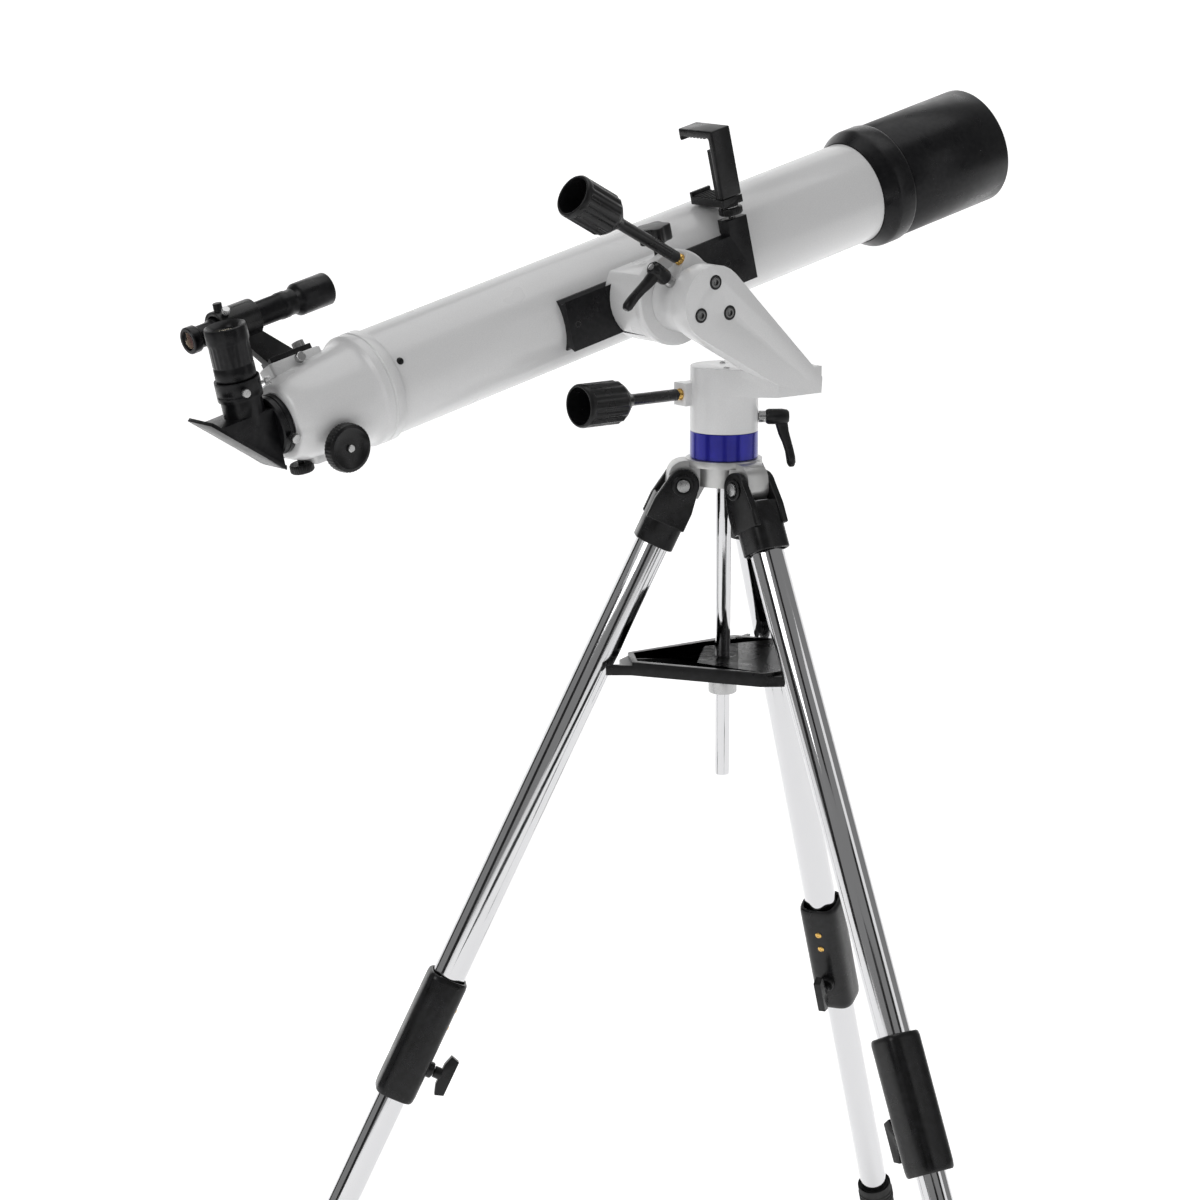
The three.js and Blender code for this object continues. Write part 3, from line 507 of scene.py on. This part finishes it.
def leg_collar(k, leg, body):
    """The moulded socket at the lower end of an upper tube, with its seam screws."""
    shell = [(15.3, -491), (17.0, -491), (18.2, -492.5), (COLLAR_HALF, -496), (COLLAR_HALF, -520),
             (COLLAR_HALF, -560), (COLLAR_HALF, -605), (18.2, -610), (17.2, -612), (13.4, -612),
             (13.4, UPPER_LEG_END), (15.3, -564.7)]
    turned(f"collar_shell_{k}", shell, leg, PLASTIC, body, 0.3, 96, [f"leg_collar_{k}"],
           ripple=squared(COLLAR_HALF))
    boss = leg @ facing((-18, 0, -578), (-1, 0, 0), (0, 1, 0))
    turned(f"collar_boss_{k}", [(3.3, -2), (7.5, -2), (7.5, 4.6), (6.9, 5.5), (3.3, 5.5)],
           boss, PLASTIC, body, 0.2, 64)
    for s in (519, 536):
        face = leg @ facing((-18.6, 0, -s), (-1, 0, 0), (0, 1, 0))
        turned(f"collar_screw_{k}_{s}", [(0, 0), (3.1, 0), (3.1, 0.6), (1.9, 1.5), (0.6, 1.7), (0.6, 0.9),
                                         (0, 0.9)], face, BRASS, body, 0.1, 40)


def foot_ribs(k, leg, body):
    for s in FOOT_RIBS:
        turned(f"foot_rib_{k}_{s}", [(15.9, -s - 0.9), (17.1, -s - 0.5), (17.1, -s + 0.5), (15.9, -s + 0.9)],
               leg, RUBBER, body, 0.2, 72)


def centre_column():
    def flattened(angle, radius, height):
        """Two flats across the rod's lower tip."""
        flat = ROD_FLAT / max(abs(math.cos(angle)), 0.01)
        return min(radius, flat) if height < -280 else radius

    rod = [(0, ROD_END), (6.3, ROD_END), (ROD_R, -285.6), (ROD_R, -10), (0, -10)]
    turned("polished_rod", rod, COLUMN, CHROME, "tripod", 0.0, 96, ["centre_rod"], ripple=flattened)
    ring = [(0, 0.3), (29.4, 0.3), (BASE_R, 0.9), (BASE_R, 23.4), (29.4, BASE_TOP), (9, BASE_TOP),
            (8.5, 63), (0, 63)]
    turned("blue_ring", ring, COLUMN, BLUE, "tripod", 0.0, 144, ["azimuth_base"])


# ---------------------------------------------------------------- mount
def control_knob(name, start, stem, place, body, node_name):
    """A fluted cup on a slim stem. The flutes stop short of the cup's plain rim."""
    cone = start + stem + KNOB_CONE
    flutes_end = cone + 36
    shaft = [(0, start), (4.6, start), (5.2, start + 1), (5.2, start + stem - 2), (7, start + stem + 1.5),
             (KNOB_CUP_R - 3, cone - 1.5), (KNOB_CUP_R - 2, cone + 1), (KNOB_CUP_R - 2, cone + 3),
             (0, cone + 3)]
    turned(f"{name}_stem", shaft, place, PLASTIC, body, 0.4, 96, [node_name])
    ribs = fluted(14, 1.5)

    def grip(angle, radius, height):
        fluted_part = radius == KNOB_CUP_R and cone + 3 <= height <= flutes_end
        return ribs(angle, radius, height) if fluted_part else radius

    turned(f"{name}_cup", [(0, cone + 1), (KNOB_CUP_R - 1.4, cone + 1), (KNOB_CUP_R, cone + 3),
                           (KNOB_CUP_R, flutes_end), (KNOB_CUP_R, cone + 37.5), (KNOB_CUP_R, cone + 41),
                           (KNOB_CUP_R - 1.2, cone + 43), (KNOB_BORE, cone + 43),
                           (KNOB_BORE - 0.4, cone + 8), (KNOB_BORE - 3, cone + 5), (0, cone + 5)],
           place, PLASTIC, body, 0.5, 196, ripple=grip)
    turned(f"{name}_cap_screw", [(0, cone + 4.9), (4.2, cone + 4.9), (4.2, cone + 8.5), (2, cone + 8.5),
                                 (2, cone + 6.5), (0, cone + 6.5)], place, STEEL, body, 0.2, 40)


def brass_tip(name, face, place, body, node_name):
    """A worm and its shaft, with the bright shoulder that shows where the shaft leaves the casting."""
    worm = [(0, -9.5), (5, -9.5), (5, 9.5), (3.6, 11), (3.6, face - 4), (4.9, face - 3),
            (4.9, face + 2.2), (3.9, face + 3.5), (0, face + 3.5)]
    turned(name, worm, place, BRASS, body, 0.2, 64, [node_name])


def clamp_lever(name, inner, seat, place, body, node_name):
    """A moulded handle on a steel collar: it leaves the hub and curves down along local -X."""
    collar = seat + 6.5
    turned(f"{name}_collar", [(0, inner), (3, inner), (3, seat), (5.2, seat), (5.2, collar), (0, collar)],
           place, STEEL, body, 0.3, 48, [node_name])
    hub = [(0, collar - 0.3), (5.8, collar - 0.3), (6.9, collar + 2), (7.0, collar + 14),
           (6.2, collar + 18.5), (4.2, collar + 20.4), (3.6, collar + 19.6), (0, collar + 19.6)]
    turned(f"{name}_hub", hub, place, PLASTIC, body, 0.3, 64)
    button = [(0, collar + 19), (3.2, collar + 19), (3.2, collar + 20.3), (0, collar + 20.8)]
    turned(f"{name}_button", button, place, STEEL, body, 0.15, 48)
    # along the handle: distance down, height over the collar, half thickness, half width
    path = [(0, 13.0, 5.8, 4.5), (-7, 13.8, 5.5, 4.5), (-14, 15.4, 4.9, 4.3), (-22, 18.2, 4.2, 4.1),
            (-30, 20.6, 4.0, 4.3), (-36, 21.8, 4.2, 4.5), (-41, 22.4, 4.0, 4.5), (-44.4, 22.6, 2.4, 3.2)]
    sections = []
    for i, (x, z, thick, wide) in enumerate(path):
        ahead, behind = path[min(i + 1, len(path) - 1)], path[max(i - 1, 0)]
        along = Vector((ahead[0] - behind[0], 0, ahead[1] - behind[1])).normalized()
        across = along.cross(Vector((0, 1, 0)))
        sections.append(((x, 0, collar + z), across, (0, 1, 0), thick, wide))
    lofted(f"{name}_handle", sections, place, PLASTIC, body)


def mount_details():
    brass_tip("azimuth_brass", AZ_WORM_FACE, AZ_WORM, "azimuth_control", "azimuth_worm_shaft")
    brass_tip("altitude_brass", ALT_WORM_FACE, ALT_WORM, "altitude_control", "altitude_worm_shaft")
    control_knob("azimuth_grip", AZ_WORM_FACE + 4, 52, AZ_WORM, "azimuth_control", "azimuth_knob")
    control_knob("altitude_grip", ALT_WORM_FACE + 4, 72, ALT_WORM, "altitude_control", "altitude_knob")
    clamp_lever("azimuth_lever", 10.5, 30.3, AZ_LEVER, "azimuth_lever", "azimuth_clamp_lever")
    clamp_lever("altitude_lever", 21.8, 29.3, ALT_LEVER, "altitude_lever", "altitude_clamp_lever")
    hinge = HEAD @ move(ALT_X, 0, ALT_Z) @ ALONG_Y
    flange = [(0, -26.5), (10, -26.5), (10, -4), (40, -4), (FLANGE_R, -2.2), (FLANGE_R, 4), (0, 4)]
    turned("altitude_flange", flange, hinge, PAINT, "altitude_head", 0.5, 144, ["altitude_shaft"])
    for i, angle in enumerate((90, 210, 330)):
        x = ALT_X + ARM_SCREW_CIRCLE * math.cos(math.radians(angle))
        z = ALT_Z + ARM_SCREW_CIRCLE * math.sin(math.radians(angle))
        seat = HEAD @ facing((x, -ARM_FACE, z), (0, -1, 0), (1, 0, 0))
        turned(f"arm_screw_seat_{i}", [(4.6, -1), (6.4, -1), (6.4, 0.25), (5.9, 0.5), (4.6, 0.5)], seat,
               PLASTIC, "azimuth_head", 0.15, 64)
        socket_screw(f"arm_screw_{i}", seat @ move(0, 0, -2.2), 4.6, "azimuth_head", DARK_STEEL)
    for i, (x, y) in enumerate(((8.5, 13), (-10, -15))):
        socket_screw(f"cover_screw_{i}", HEAD @ move(x, y, 80.6), 2.6, "azimuth_head")


# ---------------------------------------------------------------- telescope
def optical_tube():
    tube = TUBE @ ALONG_X
    body = "optical_tube"
    wall = [(TUBE_BORE, TUBE_REAR), (TUBE_R, TUBE_REAR), (TUBE_R, TUBE_FRONT), (TUBE_BORE, TUBE_FRONT)]
    turned("painted_tube", wall, tube, PAINT, body, 0.3, 160, ["main_tube"])
    joint = TUBE_FRONT + 0.3
    turned("cell_ring", [(42, joint - 19), (45, joint - 19), (45, joint), (47.8, joint), (48.4, joint + 1),
                         (54.3, joint + 11), (55.3, joint + 13), (55.7, joint + 15), (55.7, SHIELD_BACK - 3),
                         (55.2, SHIELD_BACK - 1), (54.2, SHIELD_BACK), (51.3, SHIELD_BACK),
                         (51.3, SHIELD_BACK + 18), (45.4, SHIELD_BACK + 18), (45.4, joint + 11.5),
                         (42, joint + 11.5)], tube, ANODISED, body, 0.0, 160, ["lens_cell"])
    turned("shield_shell", [(51.7, SHIELD_BACK + 0.3), (53.4, SHIELD_BACK + 0.3), (54, SHIELD_BACK + 1.2),
                            (54, SHIELD_FRONT - 1.6), (53.3, SHIELD_FRONT - 0.4), (52.7, SHIELD_FRONT),
                            (51.9, SHIELD_FRONT - 0.6), (51.7, SHIELD_FRONT - 2)],
           tube, ANODISED, body, 0.0, 160, ["dew_shield"])
    turned("shield_lining", [(50.9, SHIELD_BACK + 19), (51.6, SHIELD_BACK + 19), (51.6, SHIELD_FRONT - 3),
                             (50.9, SHIELD_FRONT - 3)], tube, MATT, body, 0.0, 160)
    turned("lens_retainer", [(42.6, SHIELD_BACK - 2.5), (45.3, SHIELD_BACK - 2.5), (45.3, SHIELD_BACK + 1.5),
                             (43.4, SHIELD_BACK + 1.5)], tube, MATT, body, 0.2, 128)
    lens("front_lens", (310.5, 306), (313, 319), tube, "objective_lens_front")
    lens("rear_lens", (301.5, 301.5), (309.5, 305), tube, "objective_lens_rear")
    rear_screws(body)
    bar_details(body)


def lens(name, back, front, place, node_name):
    def face(edge, centre, radii):
        return [(r, edge + (centre - edge) * (1 - (r / 45.1) ** 2)) for r in radii]
    outward = [45.1 * i / 10 for i in range(11)]
    profile = face(*back, outward) + face(*front, outward[::-1])
    turned(name, profile, place, GLASS, "optical_tube", 0.0, 128, [node_name])


def rear_screws(body):
    for i, angle in enumerate((59, 179, 299)):
        seat = TUBE @ turn(angle, "X") @ facing((-255, 0, 46.7), (0, 0, 1), (1, 0, 0))
        turned(f"tube_screw_{i}", [(0, -0.5), (3.2, -0.5), (3.2, 0.5), (2.2, 1.5), (0.8, 1.7), (0.8, 0.9),
                                   (0, 0.9)], seat, PLASTIC, body, 0.1, 40)


def bar_details(body):
    for i, u in enumerate((-78, 94)):
        seat = TUBE @ facing((u, -53.9, 0), (0, -1, 0), (1, 0, 0))
        socket_screw(f"bar_screw_{i}", seat @ move(0, 0, -1.9), 3.4, body, PLASTIC)


def focuser():
    tube = TUBE @ ALONG_X
    body = "optical_tube"
    rear, front = FOCUSER_REAR, TUBE_REAR - 0.3
    turned("focuser_body", [(23.9, rear), (30.4, rear), (32.6, rear + 1.2), (34, rear + 4), (36, rear + 9),
                            (37.6, rear + 13), (40, -325), (42.3, -302), (43.4, -293), (44.3, -287.5),
                            (45.2, -284), (47, -281.5), (48.6, -280.6), (49.1, -279.4), (49.1, -273.6),
                            (48.4, -272.8), (48.4, -271.9), (49.3, -271.0), (49.3, front - 0.8),
                            (48.7, front), (45, front), (45, front + 14), (42, front + 14), (42, -286),
                            (23.9, -300)], tube, PAINT, body, 0.0, 160, ["focuser_housing"])
    pinion_block(body)
    lean = TUBE @ turn(-FINDER_LEAN, "X")
    pressed("finder_shoe", rounded(-350, -298, -12, 12, 3), 34, 46.4, lean, PAINT, body, 0.8)
    pressed("shoe_rail", rounded(-349, -299, -10, 10, 2), 46.2, 47.1, lean, PAINT, body, 0.3)
    drawtube_pieces(tube)
    focus_wheels()


def pinion_block(body):
    """The swelling under the body that carries the pinion shaft from side to side."""
    across = TUBE @ move(PINION_U, 0, PINION_V) @ ALONG_Y
    turned("pinion_boss", [(3.5, -38.6), (7.2, -38.6), (8.6, -37.4), (9.4, -33), (9.4, 33), (8.6, 37.4),
                           (7.2, 38.6), (3.5, 38.6)], across, PAINT, body, 0.4, 72)
    pressed("pinion_cover", rounded(-341, -313, -15, 15, 4), -42.5, -34, TUBE, PAINT, body, 1.2)
    for i, (u, y) in enumerate(((-337, -11), (-337, 11), (-317, -11), (-317, 11))):
        seat = TUBE @ facing((u, y, -42.4), (0, 0, -1), (1, 0, 0))
        socket_screw(f"cover_bolt_{i}", seat @ move(0, 0, -0.8), 1.7, body)


def drawtube_pieces(tube):
    rear = FOCUSER_REAR
    turned("drawtube_shell", [(16.1, rear - 12), (24.6, rear - 12), (26, rear - 10.8), (26, rear - 7),
                              (25.2, rear - 6.4), (25.2, rear - 5.4), (26, rear - 4.8), (26, rear - 0.9),
                              (23.5, rear - 0.3), (23.5, -266), (20, -266), (20, -344), (16.1, -344)],
           tube, ANODISED, "focus_tube", 0.0, 128, ["drawtube"])
    side = TUBE @ facing((rear - 6, -24.5, -6), (0, -1, -0.2), (1, 0, 0))
    thumb_screw("adapter_screw", side, 4.2, 6.5, 3, "focus_tube")
    turned("lock_wheel", [(0, -48), (9.4, -48), (10.5, -47), (10.5, -41.8), (9.6, -40.5), (2.6, -40.5),
                          (2.6, -24.5), (0, -24.5)], TUBE @ move(-347, 0, 0), PLASTIC, "focus_lock", 0.0, 144,
           ["focus_lock_knob"], ripple=lambda a, r, h: r - (0.5 * abs(math.cos(16 * a)) if r > 10 else 0))


def focus_wheels():
    across = TUBE @ move(PINION_U, 0, PINION_V) @ ALONG_Y
    turned("focus_axle", [(0, -54), (2.6, -54), (3.2, -53.4), (3.2, 53.4), (2.6, 54), (0, 54)], across, STEEL,
           "focus_knobs", 0.0, 48, ["pinion_shaft"])
    grip = fluted(40, 0.5)
    for side, hand in ((-1, "right"), (1, "left")):
        out = [(3.3, 40), (13.4, 40), (14, 40.6), (14.4, 42), (19.4, 42.2), (20.9, 43.4), (20.9, 50.4),
               (19.9, 51.8), (17.4, 52.5), (15.8, 51.6), (8, 51.2), (3.3, 51.2)]
        turned(f"focus_wheel_{hand}", [(r, side * h) for r, h in out], across, PLASTIC, "focus_knobs", 0.0,
               160, [f"focus_knob_{hand}"], ripple=lambda a, r, h: grip(a, r, h) if r > 20 else r)
        screw = [(0, 51), (3.0, 51), (2.9, 52.6), (2.2, 53.4), (0.8, 53.5), (0, 52.8)]
        turned(f"focus_screw_{hand}", [(r, side * h) for r, h in screw], across, STEEL,
               "focus_knobs", 0.0, 48)


def viewing_end():
    stand = TUBE @ move(EYEPIECE_U, 0, 0)
    slim = fluted(24, 0.35)
    barrel = [(0, 23), (15, 23), (BARREL_R, 23.8), (BARREL_R, 50.3)]
    grip = [(17.0, 50.3), (17.4, 51), (17.4, 61), (16.9, 61.6), (16.9, 62.8), (17.4, 63.4), (17.4, 80)]
    eyecup = [(17.9, 82), (18.2, 84), (18.2, 93.6), (17.6, 95.4), (16.2, 96), (14.6, 95.4), (11.5, 92.6),
              (10.6, 91.2), (0, 91)]
    turned("eyepiece_shell", barrel + grip + eyecup, stand, ANODISED, "eyepiece_slider", 0.0, 144,
           ["eyepiece"], ripple=lambda a, r, h: slim(a, r, h) if 63 < h < 80.5 and r > 17 else r)
    turned("eye_lens", [(0, 90.4), (10.4, 90.4), (10.2, 91.4), (5, 92.1), (0, 92.3)], stand, GLASS,
           "eyepiece_slider", 0.0, 72)
    turned("holder_ring", [(16.2, 33), (18.7, 33), (19.3, 33.8), (19.3, 38), (19.0, 38.4), (19.0, 39.2),
                           (19.3, 39.6), (19.3, 49.2), (18.6, 50), (16.2, 50)], stand, ANODISED, "diagonal",
           0.0, 120)
    for i, (u, y, v, away) in enumerate(((-396, -17.5, 42, (-0.3, -1, 0)), (-374, -10, 42, (1, -0.55, 0)))):
        seat = TUBE @ facing((u, y, v), away, (0, 0, 1))
        thumb_screw(f"eyepiece_screw_{i}", seat, 3.6, 5.5, 3.5, "diagonal")


def finder():
    sight = TUBE @ move(0, FINDER_Y, FINDER_V) @ ALONG_X
    eye_end = [(0, -403), (7.6, -402.6), (8.4, -404.4), (10.8, -404.4), (11.6, -403.6), (11.6, -396.6),
               (11, -395.6), (9.5, -394.6), (9.5, -382), (10.2, -380.4)]
    barrel = [(11, -379.6), (11, -312), (11.6, -311), (11.6, -304), (11, -303), (11, -296.5)]
    front_cell = [(12.8, -294.4), (14, -292.6), (14.2, -291), (14.2, -262), (13.6, -261), (12.8, -261.4),
                  (12.6, -262), (12.6, -273), (0, -273)]
    turned("finder_shell", eye_end + barrel + front_cell, sight, ANODISED, "finder", 0.0, 120,
           ["finder_scope"])
    turned("finder_objective", [(0, -272.6), (12.4, -272.6), (12.4, -271.6), (8, -270.2), (0, -269.2)], sight,
           GLASS, "finder", 0.0, 72)
    turned("finder_eye_lens", [(0, -402.4), (7.4, -402.4), (7.2, -403.2), (4, -403.9), (0, -404.1)], sight,
           GLASS, "finder", 0.0, 64)
    for i, angle in enumerate((35, 155, 275)):
        seat = TUBE @ move(-369, FINDER_Y, FINDER_V) @ turn(angle, "X") @ move(0, 0, 12.4)
        thumb_screw(f"aim_screw_{i}", seat, 3.6, 5, 5.2, "optical_tube", PLASTIC if i else STEEL)
    lean = TUBE @ turn(-FINDER_LEAN, "X")
    thumb_screw("finder_nut_head", lean @ move(-310, 0, 50.5), 5.4, 6.2, 1.3, "finder_nut")
    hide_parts("finder_thumb_nut")
    shoe_side = lean @ facing((-324, -12, 42), (0, -1, 0), (1, 0, 0))
    thumb_screw("shoe_screw", shoe_side, 4.4, 6, 3, "optical_tube")


def phone_clamp():
    stud = TUBE @ move(CLAMP_U, CLAMP_Y, 0)
    turned("ring_nut_grip", [(3.1, 39.5), (9.8, 39.5), (10.8, 40.3), (10.8, 44.8), (9.9, 45.6), (3.1, 45.6)],
           stud, PLASTIC, "phone_ring", 0.0, 144, ["phone_clamp_ring_nut"],
           ripple=lambda a, r, h: r - (0.45 * abs(math.cos(16 * a)) if r > 10 else 0))
    turned("clamp_washer", [(3.0, 46.0), (8.2, 46.0), (8.6, 46.4), (8.2, 46.9), (3.0, 46.9)], stud, STEEL,
           "optical_tube", 0.1, 64)
    pads, pitch, half, thickness = 7, 4.6, 9.5, 2.6
    for i in range(pads):
        y = -41 + pitch * i
        pad = rectangle(CLAMP_U - half, CLAMP_U + half, y, y + thickness)
        pressed(f"lower_pad_{i}", pad, 54.8, 55.9, TUBE, RUBBER, "phone_clamp", 0.3)
        pressed(f"upper_pad_{i}", pad, 110.1, 111.2, TUBE, RUBBER, "phone_jaw", 0.3)
    back = facing((0, -46.7, 0), (0, 1, 0), (1, 0, 0))
    pressed("jaw_backing", rounded(CLAMP_U - 3, CLAMP_U + 3, -106, -84, 2), -0.4, -0.1, TUBE @ back, RUBBER,
            "phone_jaw", 0.1)


# ---------------------------------------------------------------- carried-over pieces
def carried_over():
    """Rounds and finishes every CAD piece that nothing above stands for."""
    rounding = {"azimuth_housing": 0.9, "altitude_housing": 0.7, "saddle": 0.8, "tray": 0.5,
                "star_diagonal": 0.6, "phone_clamp_body": 1.6, "phone_clamp_jaw": 1.6, "tripod_hub": 0.7,
                "saddle_knob": 1.2, "finder_bracket": 0.5, "dovetail_bar": 0.4}
    slots = {entry["node"]: entry["material_slot"] for entry in frame["record"]["subparts"]}
    for name, obj in frame["nodes"].items():
        obj.data.materials.clear()
        obj.data.materials.append(SLOT_MATERIALS[slots[name]])
        default = 0.8 if name.startswith(("leg_wing", "rubber")) else 0.3
        soften(obj, rounding.get(name, default), 3, weld=True)


# ---------------------------------------------------------------- studio
def backdrop_material():
    made, tree, shader = surface("pale_paper", (0.93, 0.93, 0.93), 0.8)
    shader.inputs["Emission Color"].default_value = (1, 1, 1, 1)
    shader.inputs["Emission Strength"].default_value = 0.55
    add_bump(tree, shader, textured(tree, 30), 0.02, 0.001)
    return made


def backdrop():
    """A pale floor that curves up into the wall behind."""
    depth, bend, rise, half = 2.6, 1.2, 4.5, 6.0
    profile = [(-6.0, 0.0), (depth, 0.0)]
    profile += [(depth + bend * math.sin(a), bend * (1 - math.cos(a)))
                for a in (math.radians(10 * i) for i in range(1, 10))]
    profile.append((depth + bend, rise))
    points = [(x, y, z - 0.0005) for y, z in profile for x in (-half, half)]
    faces = [[2 * i, 2 * i + 1, 2 * i + 3, 2 * i + 2] for i in range(len(profile) - 1)]
    mesh = bpy.data.meshes.new("backdrop")
    mesh.from_pydata(points, [], faces)
    mesh.shade_smooth()
    mesh.materials.append(backdrop_material())
    made = bpy.data.objects.new("backdrop", mesh)
    bpy.context.scene.collection.objects.link(made)


def dark_card(name, centre, width, height, look_at):
    """A black flag that only reflections show. It draws the dark bands on polished metal."""
    made, tree, shader = surface(f"{name}_cloth", (0.01, 0.01, 0.01), 0.9)
    add_bump(tree, shader, textured(tree, 80), 0.2, 0.001)
    mesh = bpy.data.meshes.new(name)
    mesh.from_pydata([(-width / 2, -height / 2, 0), (width / 2, -height / 2, 0), (width / 2, height / 2, 0),
                      (-width / 2, height / 2, 0)], [], [[0, 1, 2, 3]])
    mesh.materials.append(made)
    card = bpy.data.objects.new(name, mesh)
    card.location = centre
    card.rotation_euler = (Vector(look_at) - Vector(centre)).to_track_quat("Z", "Y").to_euler()
    card.visible_camera = False
    card.visible_shadow = False
    card.visible_diffuse = False
    bpy.context.scene.collection.objects.link(card)


def softbox(name, centre, width, height, energy, look_at=(0, 0, 0.8)):
    data = bpy.data.lights.new(name, "AREA")
    data.shape = "RECTANGLE"
    data.size, data.size_y = width, height
    data.energy = energy
    lamp = bpy.data.objects.new(name, data)
    lamp.location = centre
    lamp.rotation_euler = (Vector(look_at) - Vector(centre)).to_track_quat("-Z", "Y").to_euler()
    bpy.context.scene.collection.objects.link(lamp)


def studio():
    world = bpy.data.worlds.new("studio")
    world.use_nodes = True
    world.node_tree.nodes["Background"].inputs["Color"].default_value = (1, 1, 1, 1)
    world.node_tree.nodes["Background"].inputs["Strength"].default_value = 0.26
    bpy.context.scene.world = world
    bpy.context.scene.view_settings.view_transform = "Standard"
    backdrop()
    softbox("key", (-2.2, -2.2, 2.6), 1.6, 1.6, 26)
    softbox("top", (0.2, 0.3, 3.4), 2.4, 2.4, 24)
    softbox("fill", (2.8, -1.6, 1.6), 1.0, 2.4, 6)
    tripod_centre = (0, 0, 0.7)
    dark_card("flag_left", (-2.6, -1.3, 0.7), 0.9, 2.6, tripod_centre)
    dark_card("flag_right", (2.0, -2.2, 0.7), 0.7, 2.6, tripod_centre)
    dark_card("flag_front", (-0.3, -4.4, 0.6), 1.1, 2.4, tripod_centre)
    dark_card("flag_floor", (0.3, -1.5, 0.02), 1.6, 0.8, (0.3, -1.5, 3))
    dark_card("flag_high", (0.1, -3.6, 3.4), 0.9, 1.6, tripod_centre)
    dark_card("flag_rear", (-2.4, 1.6, 1.2), 0.8, 2.4, tripod_centre)


def camera():
    """A long lens about three and a half metres away, looking slightly down."""
    data = bpy.data.cameras.new("camera")
    data.lens = 123.6
    data.sensor_width = 36
    made = bpy.data.objects.new("camera", data)
    made.location = (-0.3608, -3.5477, 1.44405)
    heading, pitch = math.radians(5.47), math.radians(11.55)
    made.rotation_euler = (math.radians(90) - pitch, 0, -heading)
    bpy.context.scene.collection.objects.link(made)
    bpy.context.scene.camera = made


# ---------------------------------------------------------------- assembly
tripod_legs()
centre_column()
mount_details()
optical_tube()
focuser()
viewing_end()
finder()
phone_clamp()
carried_over()
studio()
camera()
